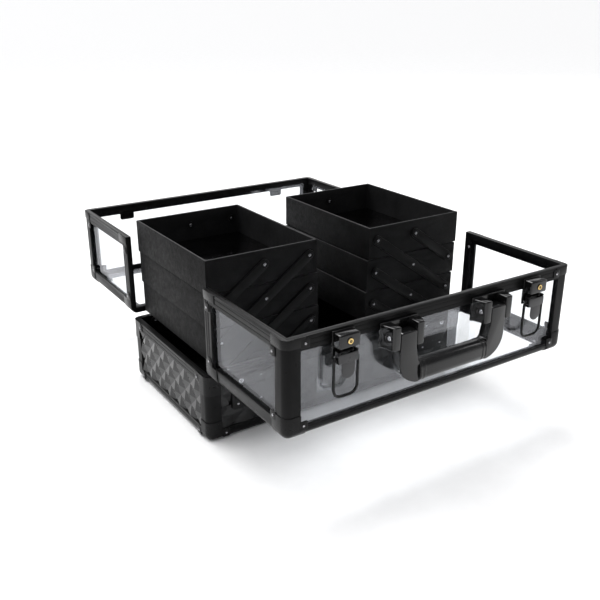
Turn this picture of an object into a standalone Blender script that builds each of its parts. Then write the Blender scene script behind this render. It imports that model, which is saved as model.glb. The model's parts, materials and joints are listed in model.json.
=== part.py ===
"""A makeup train case: a low base with diamond-pressed panels, two clear half-lids that fold outwards on
the base's long edges, and two groups of three cantilever trays on flat arms.

Everything is designed with the case shut, X along the case, Y front to back and Z up, with the origin at
the middle of the underside. Each moving piece is parented to an empty on its joint's axis. The rest pose then
opens both half-lids by a quarter turn and lets the carrying handle hang down on the front one.
"""

import math

import bmesh
import bpy
from mathutils import Matrix, Vector

# Driving dimensions, in metres.
CASE_LENGTH = 0.384
CASE_WIDTH = 0.208
CASE_HEIGHT = 0.243
SEAM_HEIGHT = 0.083
GAP = 0.0003

FRAME_SKIN = 0.003
POST_WIDTH = 0.0175
TOP_EDGE_RAIL = 0.009
LOW_RAIL = 0.014
RIM_RAIL = 0.012
SEAM_RAIL = 0.014
EDGE_ROUND = 0.008
EASED_EDGE = 0.0015
LIP_DEPTH = 0.0065
LIP_HEIGHT = 0.009
PANEL_THICK = 0.002
PANEL_OVERLAP = 0.004

TUB_WALL = 0.0037
TUB_FLOOR = 0.0032
RIM_CAP = 0.0025
DIAMOND_SHEET = 0.001
DIAMOND_RISE = 0.0022
DIAMOND_HALF = 0.0143

HINGE_OFFSET = 0.004
KNUCKLE_RADIUS = 0.0028
KNUCKLE_WEB = 0.0042
MIDDLE_KNUCKLE_SHARE = 0.36
HINGE_PIN_RADIUS = 0.0012
LEAF_THICK = 0.002
LEAF_CORNER = 0.002
LEAF_RIVET_SHARE = 0.68
RIVET_SIZE = 0.0022
RIVET_RISE = 0.0009

TRAY_HALF_DEPTH = 0.0942
TRAY_HEIGHT = 0.040
TRAY_WALL = 0.003
TRAY_PITCH = 0.041
TRAY_MARGIN = 0.012
PIVOT_SPACING = 0.060
PIVOT_ABOVE_FLOOR = 0.0235
LEVEL_STEP = 0.0015
BASE_INNER_PIVOT = 0.0455
BASE_PIVOT_HEIGHT = 0.0755

ARM_RADIUS = 0.006
ARM_INNER_FACE = 0.0947
ARM_THICK = 0.002
PIN_RADIUS = 0.002
PIN_HOLE_RADIUS = 0.0025
PIN_HEAD = 0.001
PIN_HEAD_RADIUS = 0.0032
WASHER_RADIUS = 0.004
BASE_PIN_REACH = 0.003

CLASP_X = 0.139
CLASP_HALF_WIDTH = 0.022
CLASP_TOP = 0.1045
CLASP_FOOT = 0.0345
CLASP_FOOT_RIVETS = 0.0415
CLASP_HOUSING_LOW = 0.066
CLASP_HOUSING_DEPTH = 0.0035
CLASP_PIVOT_HEIGHT = 0.0625
CLASP_PIVOT_RISE = 0.0014
CLASP_LEVER_LOW = 0.0475
LEVER_ROD = 0.001
LEVER_TRUNNION = 0.0007
LOCK_RADIUS = 0.0034
LOCK_THICK = 0.0014
LOCK_SIDES = 16
BACK_HINGE_X = 0.120
BACK_HINGE_HALF_WIDTH = 0.017
BACK_HINGE_LEAF = 0.019
BACK_HINGE_RIVETS = 0.007

HANDLE_X = 0.061
HANDLE_Y = -0.020
HANDLE_PIVOT_RISE = 0.012
HANDLE_TOP_RISE = 0.053
HANDLE_CORNER = 0.026
LEG_WIDTH = 0.020
LEG_DEPTH = 0.014
LEG_END = 0.0045
LEG_STRAIGHT = 0.014
LEG_TAPER = 0.003
HANDLE_PIN_RADIUS = 0.0025
HANDLE_PIN_LENGTH = 0.041
GRIP_HALF_LENGTH = 0.046
GRIP_HEIGHT = 0.023
GRIP_DEPTH = 0.019
GRIP_CORNER = 0.0085
GRIP_CORE = 0.010
GRIP_CORE_TAIL = 0.004
BRACKET_PLATE = 0.003
BRACKET_RISE = 0.019
BRACKET_HALF_FOOT = 0.024
BRACKET_HALF_CROWN = 0.0195
BRACKET_HALF_DEPTH = 0.013
BRACKET_CHAMFER = 0.0025

LATCH_X = 0.128
LATCH_LEVER_Y = -0.023
LATCH_LEVER_RISE = 0.0065
LATCH_PLATE = 0.002
LATCH_BLOCK_FRONT = -0.0175
LATCH_BLOCK_BACK = -0.003
LATCH_BLOCK_RISE = 0.0125
LATCH_BLOCK_HALF = 0.012
CHEEK_INNER = 0.0045
CHEEK_OUTER = 0.008
LEVER_PIN_RADIUS = 0.0015
LEVER_HALF = 0.0115
LEVER_SKIRT = 0.0025
LEVER_SKIN_RISE = 0.0031
LEVER_SKIN = 0.0015
LEVER_REACH = 0.0265
TONGUE_HALF = 0.0075
LOOP_SETBACK = 0.0055
LOOP_LENGTH = 0.041
LOOP_HALF_WIDTH = 0.014
LOOP_CORNER = 0.009
LOOP_END_HALF = 0.0097
LOOP_TURN = 0.003
WIRE_RADIUS = 0.0013
CATCH_FOOT_THICK = 0.0018
CATCH_LIP_THICK = 0.0018
CATCH_LIP_HALF = 0.0085
CATCH_LIP_END = 0.0215

HALF_LENGTH = CASE_LENGTH / 2
HALF_WIDTH = CASE_WIDTH / 2
BASE_TOP = SEAM_HEIGHT - GAP
HINGE_Y = HALF_WIDTH + HINGE_OFFSET
HARDWARE_FACE = HALF_WIDTH + 2 * GAP
QUARTER_TURN = math.pi / 2
ROUND_SIDES = 10
PIN_SIDES = 8


def clear_scene():
    for old in list(bpy.data.objects):
        bpy.data.objects.remove(old, do_unlink=True)


def make_material(name, colour, roughness, metallic, alpha=1.0):
    material = bpy.data.materials.new(name)
    material.use_nodes = True
    shader = material.node_tree.nodes["Principled BSDF"]
    shader.inputs["Base Color"].default_value = (*colour, 1.0)
    shader.inputs["Roughness"].default_value = roughness
    shader.inputs["Metallic"].default_value = metallic
    shader.inputs["Alpha"].default_value = alpha
    return material


# Building blocks. Each returns an object in the scene whose mesh holds shut-case coordinates.


def object_from(bm):
    bmesh.ops.recalc_face_normals(bm, faces=bm.faces)
    mesh = bpy.data.meshes.new("shape")
    bm.to_mesh(mesh)
    bm.free()
    obj = bpy.data.objects.new("shape", mesh)
    bpy.context.scene.collection.objects.link(obj)
    return obj


def box(low, high, rounded=None, radius=0.0, segments=3):
    """A block between two corners. rounded(direction, middle) picks the edges that get the radius."""
    low = Vector(low)
    high = Vector(high)
    bm = bmesh.new()
    bmesh.ops.create_cube(bm, size=1.0)
    bmesh.ops.scale(bm, vec=high - low, verts=bm.verts)
    bmesh.ops.translate(bm, vec=(low + high) / 2, verts=bm.verts)
    if rounded:
        chosen = []
        for edge in bm.edges:
            start, end = (vertex.co for vertex in edge.verts)
            if rounded((end - start).normalized(), (start + end) / 2):
                chosen.append(edge)
        bmesh.ops.bevel(
            bm, geom=chosen, offset=radius, segments=segments, affect="EDGES", profile=0.5
        )
    return object_from(bm)


def rod(axis, centre, radius, length, sides=ROUND_SIDES, tip_radius=None):
    """A round bar, or a tapered one, with its middle at centre."""
    turns = {
        "X": Matrix.Rotation(QUARTER_TURN, 4, "Y"),
        "Y": Matrix.Rotation(QUARTER_TURN, 4, "X"),
        "Z": Matrix.Identity(4),
    }
    bm = bmesh.new()
    bmesh.ops.create_cone(
        bm,
        cap_ends=True,
        segments=sides,
        radius1=radius,
        radius2=radius if tip_radius is None else tip_radius,
        depth=length,
        matrix=Matrix.Translation(Vector(centre)) @ turns[axis],
    )
    return object_from(bm)


def slab(outline, axis, low, high):
    """An outline in the plane across axis, extruded from low to high along it."""
    position = {"X": 0, "Y": 1, "Z": 2}[axis]
    bm = bmesh.new()
    corners = []
    for first, second in outline:
        point = [first, second]
        point.insert(position, low)
        corners.append(bm.verts.new(point))
    face = bm.faces.new(corners)
    grown = bmesh.ops.extrude_face_region(bm, geom=[face])["geom"]
    push = Vector((0, 0, 0))
    push[position] = high - low
    moved = [item for item in grown if isinstance(item, bmesh.types.BMVert)]
    bmesh.ops.translate(bm, vec=push, verts=moved)
    return object_from(bm)


def arc(centre, radius, start, end, steps):
    """Points along an arc, angles in degrees."""
    points = []
    for step in range(steps + 1):
        angle = math.radians(start + (end - start) * step / steps)
        points.append((centre[0] + radius * math.cos(angle), centre[1] + radius * math.sin(angle)))
    return points


def rounded_rectangle(left, right, bottom, top, radius, steps=2):
    corners = (
        (right - radius, top - radius, 0),
        (left + radius, top - radius, 90),
        (left + radius, bottom + radius, 180),
        (right - radius, bottom + radius, 270),
    )
    points = []
    for x, y, start in corners:
        points += arc((x, y), radius, start, start + 90, steps)
    return points


def bar_outline(start, end, radius, steps=5):
    """A straight bar between two points, with round ends centred on them."""
    heading = math.degrees(math.atan2(end[1] - start[1], end[0] - start[0]))
    near = arc(start, radius, heading + 90, heading + 270, steps)
    far = arc(end, radius, heading - 90, heading + 90, steps)
    return near + far


def combine(base, others, operation, solver):
    """The base after a Boolean with each of the other shapes, which are used up."""
    for other in others:
        modifier = base.modifiers.new("combine", "BOOLEAN")
        modifier.operation = operation
        modifier.solver = solver
        modifier.object = other
    graph = bpy.context.evaluated_depsgraph_get()
    graph.update()
    result = bpy.data.meshes.new_from_object(base.evaluated_get(graph))
    base.modifiers.clear()
    base.data = result
    for other in others:
        bpy.data.objects.remove(other, do_unlink=True)
    return base


def union(shapes, solver="EXACT"):
    return combine(shapes[0], shapes[1:], "UNION", solver)


def difference(base, cutters):
    return combine(base, cutters, "DIFFERENCE", "EXACT")


def mirrored(obj, axis):
    """The same object reflected in place: X swaps left and right, Y swaps front and back."""
    factors = Vector((-1, 1, 1)) if axis == "X" else Vector((1, -1, 1))
    obj.data.transform(Matrix.Diagonal((*factors, 1)))
    obj.data.flip_normals()
    return obj


def pivot_empty(name, pivot, parent=None, turn=0.0):
    """An empty on a joint's axis, placed for the shut case, and turned about X for the rest pose."""
    empty = bpy.data.objects.new(name, None)
    bpy.context.scene.collection.objects.link(empty)
    empty["pivot"] = list(pivot)
    empty.parent = parent
    empty.location = Vector(pivot) - (Vector(parent["pivot"]) if parent else Vector())
    empty.rotation_euler.x = turn
    return empty


def finish(obj, name, material, empty, smooth_angle=35.0):
    """Names a piece, gives it its material and hangs it on its empty, with its origin on that axis."""
    obj.name = name
    obj.data.name = name
    obj.data.materials.clear()
    obj.data.materials.append(material)
    obj.data.transform(Matrix.Translation(-Vector(empty["pivot"])))
    obj.parent = empty
    obj.data.shade_smooth()
    obj.data.set_sharp_from_angle(angle=math.radians(smooth_angle))
    return obj


# The base.


def window(across, low, high):
    """A through-cut along one axis, for an opening in a frame's wall."""
    reach = CASE_LENGTH
    starts = list(low)
    ends = list(high)
    position = {"X": 0, "Y": 1}[across]
    starts.insert(position, -reach)
    ends.insert(position, reach)
    return box(starts, ends)


def make_base_frame(root, material):
    def round_edge(direction, middle):
        upright = abs(direction.z) > 0.9
        return upright or middle.z < GAP

    frame = box(
        (-HALF_LENGTH, -HALF_WIDTH, 0), (HALF_LENGTH, HALF_WIDTH, BASE_TOP), round_edge, EDGE_ROUND
    )
    rim_x = HALF_LENGTH - FRAME_SKIN - TUB_WALL - GAP
    rim_y = HALF_WIDTH - FRAME_SKIN - TUB_WALL - GAP
    inner_x = HALF_LENGTH - FRAME_SKIN
    inner_y = HALF_WIDTH - FRAME_SKIN
    open_x = HALF_LENGTH - POST_WIDTH
    open_y = HALF_WIDTH - POST_WIDTH
    top = BASE_TOP - RIM_RAIL
    difference(
        frame,
        [
            box((-inner_x, -inner_y, FRAME_SKIN), (inner_x, inner_y, BASE_TOP - RIM_CAP)),
            box((-rim_x, -rim_y, FRAME_SKIN), (rim_x, rim_y, CASE_HEIGHT)),
            box((-open_x, -open_y, -POST_WIDTH), (open_x, open_y, POST_WIDTH / 2)),
            window("Y", (-open_x, LOW_RAIL), (open_x, top)),
            window("X", (-open_y, LOW_RAIL), (open_y, top)),
        ],
    )
    finish(frame, "base_frame", material, root)


def make_base_tub(root, material):
    """The inner box: its floor shows through the bottom frame and carries the case."""
    outer_x = HALF_LENGTH - FRAME_SKIN - GAP
    outer_y = HALF_WIDTH - FRAME_SKIN - GAP
    inner_x = outer_x - TUB_WALL
    inner_y = outer_y - TUB_WALL
    foot_x = HALF_LENGTH - POST_WIDTH - GAP
    foot_y = HALF_WIDTH - POST_WIDTH - GAP
    floor = FRAME_SKIN + GAP
    tub = union(
        [
            box((-outer_x, -outer_y, floor), (outer_x, outer_y, BASE_TOP - RIM_CAP - GAP)),
            box((-foot_x, -foot_y, 0), (foot_x, foot_y, floor + TUB_FLOOR / 2)),
        ]
    )
    cuts = [box((-inner_x, -inner_y, floor + TUB_FLOOR), (inner_x, inner_y, CASE_HEIGHT))]
    depth = BASE_PIN_REACH
    for side in (-1, 1):
        for group in (-1, 1):
            for place in (1, 2):
                x = group * (BASE_INNER_PIVOT + place * PIVOT_SPACING)
                centre = (x, side * (inner_y + depth / 2 - GAP), BASE_PIVOT_HEIGHT)
                cuts.append(rod("Y", centre, PIN_HOLE_RADIUS, depth + 2 * GAP, PIN_SIDES))
    difference(tub, cuts)
    finish(tub, "base_tub", material, root)


def diamond_sheet(half_span, low, high):
    """A pressed sheet facing -Y at Y 0: low corners and raised middles take turns on a grid."""
    columns = 2 * round(half_span / DIAMOND_HALF)
    rows = 2 * round((high - low) / (2 * DIAMOND_HALF))
    bm = bmesh.new()
    front = []
    for row in range(rows + 1):
        z = low + (high - low) * row / rows
        line = []
        for column in range(columns + 1):
            x = -half_span + 2 * half_span * column / columns
            rise = 0.0 if (row + column) % 2 else DIAMOND_RISE
            line.append(bm.verts.new((x, -DIAMOND_SHEET - rise, z)))
        front.append(line)
    for row in range(rows):
        for column in range(columns):
            a = front[row][column]
            b = front[row][column + 1]
            c = front[row + 1][column + 1]
            d = front[row + 1][column]
            if (row + column) % 2:
                bm.faces.new((a, b, c))
                bm.faces.new((a, c, d))
            else:
                bm.faces.new((a, b, d))
                bm.faces.new((b, c, d))
    rim = [edge for edge in bm.edges if edge.is_boundary]
    walls = bmesh.ops.extrude_edge_only(bm, edges=rim)["geom"]
    for item in walls:
        if isinstance(item, bmesh.types.BMVert):
            item.co.y = 0.0
    back = [edge for edge in bm.edges if edge.is_boundary]
    bmesh.ops.contextual_create(bm, geom=back)
    return object_from(bm)


def make_diamond_panels(root, material):
    low = LOW_RAIL + GAP
    high = BASE_TOP - RIM_RAIL - GAP
    long_half = HALF_LENGTH - POST_WIDTH - GAP
    short_half = HALF_WIDTH - POST_WIDTH - GAP
    sides = (
        ("front_diamond_panel", long_half, HALF_WIDTH, 0),
        ("right_diamond_panel", short_half, HALF_LENGTH, 1),
        ("back_diamond_panel", long_half, HALF_WIDTH, 2),
        ("left_diamond_panel", short_half, HALF_LENGTH, 3),
    )
    for name, half_span, distance, quarter in sides:
        panel = diamond_sheet(half_span, low, high)
        panel.data.transform(Matrix.Translation((0, FRAME_SKIN - distance, 0)))
        panel.data.transform(Matrix.Rotation(quarter * QUARTER_TURN, 4, "Z"))
        finish(panel, name, material, root, smooth_angle=1.0)


# The half-lids, designed as the front one and mirrored for the back.


def make_lid_frame():
    bottom = SEAM_HEIGHT + GAP
    top = CASE_HEIGHT

    def round_edge(direction, middle):
        corner_post = abs(direction.z) > 0.9 and middle.y < -GAP * 2
        front_edge = abs(direction.x) > 0.9 and middle.y < -GAP * 2 and middle.z > bottom + GAP
        end_edge = abs(direction.y) > 0.9 and middle.z > bottom + GAP
        return corner_post or front_edge or end_edge

    frame = box((-HALF_LENGTH, -HALF_WIDTH, bottom), (HALF_LENGTH, -GAP, top), round_edge, EDGE_ROUND)
    inner_x = HALF_LENGTH - FRAME_SKIN
    inner_y = HALF_WIDTH - FRAME_SKIN
    open_x = HALF_LENGTH - POST_WIDTH
    open_y = HALF_WIDTH - POST_WIDTH
    edge_y = HALF_WIDTH - TOP_EDGE_RAIL
    low = bottom + LOW_RAIL
    high = top - POST_WIDTH
    lip_x = HALF_LENGTH - LIP_DEPTH
    lip_y = HALF_WIDTH - LIP_DEPTH
    difference(
        frame,
        [
            box((-lip_x, -lip_y, 0), (lip_x, HALF_WIDTH, top - LIP_DEPTH)),
            box((-inner_x, -inner_y, bottom + LIP_HEIGHT), (inner_x, -LIP_HEIGHT, top - FRAME_SKIN)),
            box((-open_x, -CASE_WIDTH, low), (open_x, -inner_y + GAP, high)),
            box((-open_x, -edge_y, top - 2 * FRAME_SKIN), (open_x, -SEAM_RAIL, CASE_LENGTH)),
            window("X", (-open_y, low), (-SEAM_RAIL, high)),
        ],
    )
    return frame


def lid_panels():
    """The four clear sheets of the front half-lid, behind the frame's openings."""
    bottom = SEAM_HEIGHT + GAP + LIP_HEIGHT + GAP
    top = CASE_HEIGHT - POST_WIDTH + PANEL_OVERLAP
    outer_x = HALF_LENGTH - POST_WIDTH + PANEL_OVERLAP
    outer_y = HALF_WIDTH - POST_WIDTH + PANEL_OVERLAP
    edge_y = HALF_WIDTH - TOP_EDGE_RAIL + PANEL_OVERLAP
    seam_y = LIP_HEIGHT + GAP
    inset = FRAME_SKIN + GAP
    face = HALF_WIDTH - inset
    end = HALF_LENGTH - inset
    lid = CASE_HEIGHT - inset
    yield "face_panel", box((-outer_x, -face, bottom), (outer_x, -face + PANEL_THICK, top))
    yield "top_panel", box((-outer_x, -edge_y, lid - PANEL_THICK), (outer_x, -seam_y, lid))
    yield "left_end_panel", box((-end, -outer_y, bottom), (-end + PANEL_THICK, -seam_y, top))
    yield "right_end_panel", box((end - PANEL_THICK, -outer_y, bottom), (end, -seam_y, top))


def make_half_lid(prefix, hinge, is_back, frame_material, clear_material):
    frame = make_lid_frame()
    if is_back:
        mirrored(frame, "Y")
    finish(frame, prefix + "_lid_frame", frame_material, hinge)
    for name, panel in lid_panels():
        if is_back:
            mirrored(panel, "Y")
        finish(panel, f"{prefix}_lid_{name}", clear_material, hinge)


# Trays and arms. The groups are designed on the right, and the left ones are mirrored.


def level_height(level):
    """Height of a level's pivots: level 0 is the base, 1 the lowest tray and 3 the highest."""
    return BASE_PIVOT_HEIGHT + level * TRAY_PITCH


def pivot_point(level, place):
    """X and Z of a pivot: place 0 is nearest the middle of the case, 2 is the outermost."""
    return (
        BASE_INNER_PIVOT + level * LEVEL_STEP + place * PIVOT_SPACING,
        level_height(level),
    )


def make_tray(level, places):
    inner_x, height = pivot_point(level, 0)
    left = inner_x - TRAY_MARGIN
    right = inner_x + 2 * PIVOT_SPACING + TRAY_MARGIN
    bottom = height - PIVOT_ABOVE_FLOOR
    top = bottom + TRAY_HEIGHT
    depth = TRAY_HALF_DEPTH
    tray = box((left, -depth, bottom), (right, depth, top))
    hollow = box(
        (left + TRAY_WALL, -depth + TRAY_WALL, bottom + TRAY_WALL),
        (right - TRAY_WALL, depth - TRAY_WALL, top + TRAY_WALL),
    )
    cuts = [hollow]
    for place in places:
        x, z = pivot_point(level, place)
        cuts.append(rod("Y", (x, 0, z), PIN_HOLE_RADIUS, 3 * depth, PIN_SIDES))
    return difference(tray, cuts)


def pin_piece(x, z, radius, start, end, tip_radius=None):
    """A round stretch of a rivet on the front side, between two distances from the middle of the case."""
    return rod("Y", (x, -(start + end) / 2, z), radius, end - start, PIN_SIDES, tip_radius)


def tray_pin(x, z):
    """A rivet through the arm and the tray's front wall, with a round head outside and a washer inside."""
    arm_face = ARM_INNER_FACE + ARM_THICK
    washer_face = TRAY_HALF_DEPTH - TRAY_WALL - GAP
    washer_end = washer_face - PIN_HEAD
    return [
        pin_piece(x, z, PIN_RADIUS, washer_end + GAP, arm_face - ARM_THICK / 2),
        pin_piece(x, z, WASHER_RADIUS, washer_end, washer_face),
        pin_piece(x, z, PIN_HEAD_RADIUS, arm_face - GAP, arm_face - GAP + PIN_HEAD, PIN_RADIUS),
    ]


def base_pin(x, z):
    """A rivet from the arm out into the tub's front wall, with a round head on the inside."""
    head_end = ARM_INNER_FACE - PIN_HEAD
    return [
        pin_piece(x, z, PIN_RADIUS, head_end + GAP, ARM_INNER_FACE + ARM_THICK + BASE_PIN_REACH),
        pin_piece(x, z, PIN_HEAD_RADIUS, head_end, ARM_INNER_FACE + GAP),
    ]


def make_arm(pivots):
    """A flat arm on the front side. pivots lists (level, place), lowest first."""
    points = [pivot_point(level, place) for level, place in pivots]
    outline = bar_outline(points[0], points[-1], ARM_RADIUS)
    shapes = [slab(outline, "Y", -ARM_INNER_FACE - ARM_THICK, -ARM_INNER_FACE)]
    for (level, _), (x, z) in zip(pivots, points):
        shapes += tray_pin(x, z) if level else base_pin(x, z)
    return union(shapes, solver="MANIFOLD")


ARMS = {
    "lower_long_arm": ((0, 2), (1, 1), (2, 0)),
    "lower_short_arm": ((0, 1), (1, 0)),
    "upper_long_arm": ((1, 2), (2, 1), (3, 0)),
    "upper_short_arm": ((2, 2), (3, 1)),
}
TRAYS = {"bottom_tray": (1, (0, 1, 2)), "middle_tray": (2, (0, 1, 2)), "top_tray": (3, (0, 1))}


def make_tray_group(group, side, root, tray_material, arm_material):
    """side is 1 for the right group and -1 for the left one."""

    def place_empty(name, level, place, parent):
        x, z = pivot_point(level, place)
        return pivot_empty(f"{group}_{name}_pivot", (side * x, 0, z), parent)

    lower_long = place_empty("lower_long_arm", 0, 2, root)
    lower_short = place_empty("lower_short_arm", 0, 1, root)
    bottom = place_empty("bottom_tray", 1, 1, lower_long)
    middle = place_empty("middle_tray", 2, 0, lower_long)
    upper_long = place_empty("upper_long_arm", 2, 1, middle)
    upper_short = place_empty("upper_short_arm", 2, 2, middle)
    top = place_empty("top_tray", 3, 0, upper_long)
    empties = {
        "lower_long_arm": lower_long,
        "lower_short_arm": lower_short,
        "upper_long_arm": upper_long,
        "upper_short_arm": upper_short,
        "bottom_tray": bottom,
        "middle_tray": middle,
        "top_tray": top,
    }
    for name, (level, places) in TRAYS.items():
        tray = make_tray(level, places)
        if side < 0:
            mirrored(tray, "X")
        finish(tray, f"{group}_{name}", tray_material, empties[name])
    for name, pivots in ARMS.items():
        for face in ("front", "back"):
            arm = make_arm(pivots)
            if face == "back":
                mirrored(arm, "Y")
            if side < 0:
                mirrored(arm, "X")
            finish(arm, f"{group}_{face}_{name}", arm_material, empties[name])


# Hinges. All are designed on the front face and moved to their place.


def rivet(x, z, face):
    """A low round rivet head standing on a plate's outer face, on the front of the case."""
    centre = (x, -face - RIVET_RISE / 2 + GAP, z)
    return rod("Y", centre, RIVET_SIZE, RIVET_RISE, PIN_SIDES, tip_radius=RIVET_SIZE * 0.6)


def knuckles(centre_x, spans, to_lid):
    """Barrels on the hinge axis with webs back to the leaf, above the axis for the lid's leaf."""
    shapes = []
    reach = KNUCKLE_WEB if to_lid else -KNUCKLE_WEB
    low, high = sorted((SEAM_HEIGHT, SEAM_HEIGHT + reach))
    for start, end in spans:
        middle = centre_x + (start + end) / 2
        shapes.append(rod("X", (middle, -HINGE_Y, SEAM_HEIGHT), KNUCKLE_RADIUS, end - start))
        web_start = centre_x + start + GAP
        web_end = centre_x + end - GAP
        shapes.append(box((web_start, -HINGE_Y + GAP, low), (web_end, -HARDWARE_FACE - GAP, high)))
    return shapes


def hinge_bore(centre_x, half_width):
    return rod("X", (centre_x, -HINGE_Y, SEAM_HEIGHT), HINGE_PIN_RADIUS + GAP, 3 * half_width)


def hinge_pin(centre_x, half_width):
    length = 2 * (half_width - GAP)
    return rod("X", (centre_x, -HINGE_Y, SEAM_HEIGHT), HINGE_PIN_RADIUS, length)


def make_lid_leaf(centre_x, half_width, top):
    """The leaf riveted to the lid's rail, with a barrel at each end of the hinge."""
    middle_half = half_width * MIDDLE_KNUCKLE_SHARE
    face = HARDWARE_FACE + LEAF_THICK
    bottom = SEAM_HEIGHT + KNUCKLE_RADIUS + 2 * GAP
    outline = rounded_rectangle(centre_x - half_width, centre_x + half_width, bottom, top, LEAF_CORNER)
    leaf = slab(outline, "Y", -face, -HARDWARE_FACE)
    spans = ((-half_width, -middle_half - GAP), (middle_half + GAP, half_width))
    rivet_x = half_width * LEAF_RIVET_SHARE
    rivet_z = (bottom + top) / 2 + RIVET_RISE
    rivets = [rivet(centre_x + way * rivet_x, rivet_z, face) for way in (-1, 1)]
    union([leaf, *knuckles(centre_x, spans, True), *rivets])
    return difference(leaf, [hinge_bore(centre_x, half_width)])


def base_leaf_shapes(centre_x, half_width, foot):
    """The leaf on the base, with the middle barrel and the pin."""
    middle_half = half_width * MIDDLE_KNUCKLE_SHARE
    face = HARDWARE_FACE + LEAF_THICK
    top = SEAM_HEIGHT - KNUCKLE_RADIUS - 2 * GAP
    outline = rounded_rectangle(centre_x - half_width, centre_x + half_width, foot, top, LEAF_CORNER)
    leaf = slab(outline, "Y", -face, -HARDWARE_FACE)
    barrel = knuckles(centre_x, ((-middle_half, middle_half),), False)
    return [leaf, *barrel, hinge_pin(centre_x, half_width)]


def clasp_housing(centre_x, side, face):
    """The raised block under the hinge, with a key lock on its outer side and a screw on the other."""
    low = CLASP_HOUSING_LOW
    high = SEAM_HEIGHT - KNUCKLE_RADIUS - 4 * GAP
    front = face + CLASP_HOUSING_DEPTH
    half = CLASP_HALF_WIDTH - GAP
    lock_x = centre_x + side * 0.57 * CLASP_HALF_WIDTH
    screw_x = centre_x - side * 0.61 * CLASP_HALF_WIDTH
    lock_z = (low + high) / 2

    def outer_edge(direction, middle):
        return middle.y < -face - GAP

    return [
        box((centre_x - half, -front, low), (centre_x + half, -face + GAP, high), outer_edge, EASED_EDGE, 2),
        rod("Y", (lock_x, -front - GAP, lock_z), LOCK_RADIUS, LOCK_THICK, LOCK_SIDES),
        rivet(screw_x, lock_z + 2 * RIVET_RISE, front),
    ]


def clasp_ears(centre_x, face):
    """The two lugs under the housing that hold the lever's pin."""
    width = 0.0023
    reach = 0.0024
    ears = []
    for way in (-1, 1):
        near, far = sorted(centre_x + way * (CLASP_HALF_WIDTH - GAP - inset) for inset in (0, width))
        low = CLASP_PIVOT_HEIGHT - reach
        high = CLASP_HOUSING_LOW + RIVET_RISE
        ears.append(box((near, -face - CLASP_PIVOT_RISE - 4 * GAP, low), (far, -face + GAP, high)))
    return ears


def make_clasp(side_name, side, root, front_hinge, material):
    """A front clasp that is also the front lid's hinge: side -1 is the left one."""
    centre_x = side * CLASP_X
    half = CLASP_HALF_WIDTH
    face = HARDWARE_FACE + LEAF_THICK
    lid_leaf = make_lid_leaf(centre_x, half, CLASP_TOP)
    finish(lid_leaf, f"{side_name}_clasp_lid_leaf", material, front_hinge)

    feet_x = half * LEAF_RIVET_SHARE
    feet = [rivet(centre_x + way * feet_x, CLASP_FOOT_RIVETS, face) for way in (-1, 1)]
    pivot_at = (centre_x, -face - CLASP_PIVOT_RISE, CLASP_PIVOT_HEIGHT)
    leaf = base_leaf_shapes(centre_x, half, CLASP_FOOT)
    plate = union([*leaf, *clasp_housing(centre_x, side, face), *feet, *clasp_ears(centre_x, face)])
    pin_room = 2 * half - 0.0016
    difference(plate, [rod("X", pivot_at, LEVER_TRUNNION + 4 * GAP / 3, pin_room, PIN_SIDES)])
    finish(plate, f"{side_name}_clasp_base_plate", material, root)

    lever_half = half - 0.0032
    left = centre_x - lever_half
    right = centre_x + lever_half
    outline = rounded_rectangle(left, right, CLASP_LEVER_LOW, CLASP_PIVOT_HEIGHT, LEVER_ROD)
    lever = union(
        [
            slab(outline, "Y", -face - CLASP_PIVOT_RISE - RIVET_RISE, -face - CLASP_PIVOT_RISE + RIVET_RISE),
            rod("X", pivot_at, LEVER_ROD, 2 * lever_half, PIN_SIDES),
            rod("X", pivot_at, LEVER_TRUNNION, 2 * half - 0.0024, PIN_SIDES),
        ]
    )
    pivot = pivot_empty(f"{side_name}_clasp_lever_pivot", pivot_at, root)
    finish(lever, f"{side_name}_clasp_lever", material, pivot)


def make_back_hinge(side_name, side, root, back_hinge, material):
    centre_x = side * BACK_HINGE_X
    half = BACK_HINGE_HALF_WIDTH
    face = HARDWARE_FACE + LEAF_THICK
    foot = SEAM_HEIGHT - BACK_HINGE_LEAF
    lid_leaf = mirrored(make_lid_leaf(centre_x, half, SEAM_HEIGHT + BACK_HINGE_LEAF), "Y")
    finish(lid_leaf, f"{side_name}_back_hinge_lid_leaf", material, back_hinge)
    rivet_x = half * LEAF_RIVET_SHARE
    rivets = [rivet(centre_x + way * rivet_x, foot + BACK_HINGE_RIVETS, face) for way in (-1, 1)]
    base_leaf = union([*base_leaf_shapes(centre_x, half, foot), *rivets])
    mirrored(base_leaf, "Y")
    finish(base_leaf, f"{side_name}_back_hinge_base_leaf", material, root)


# The carrying handle, on the front half-lid's top. It is designed upright.


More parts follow.
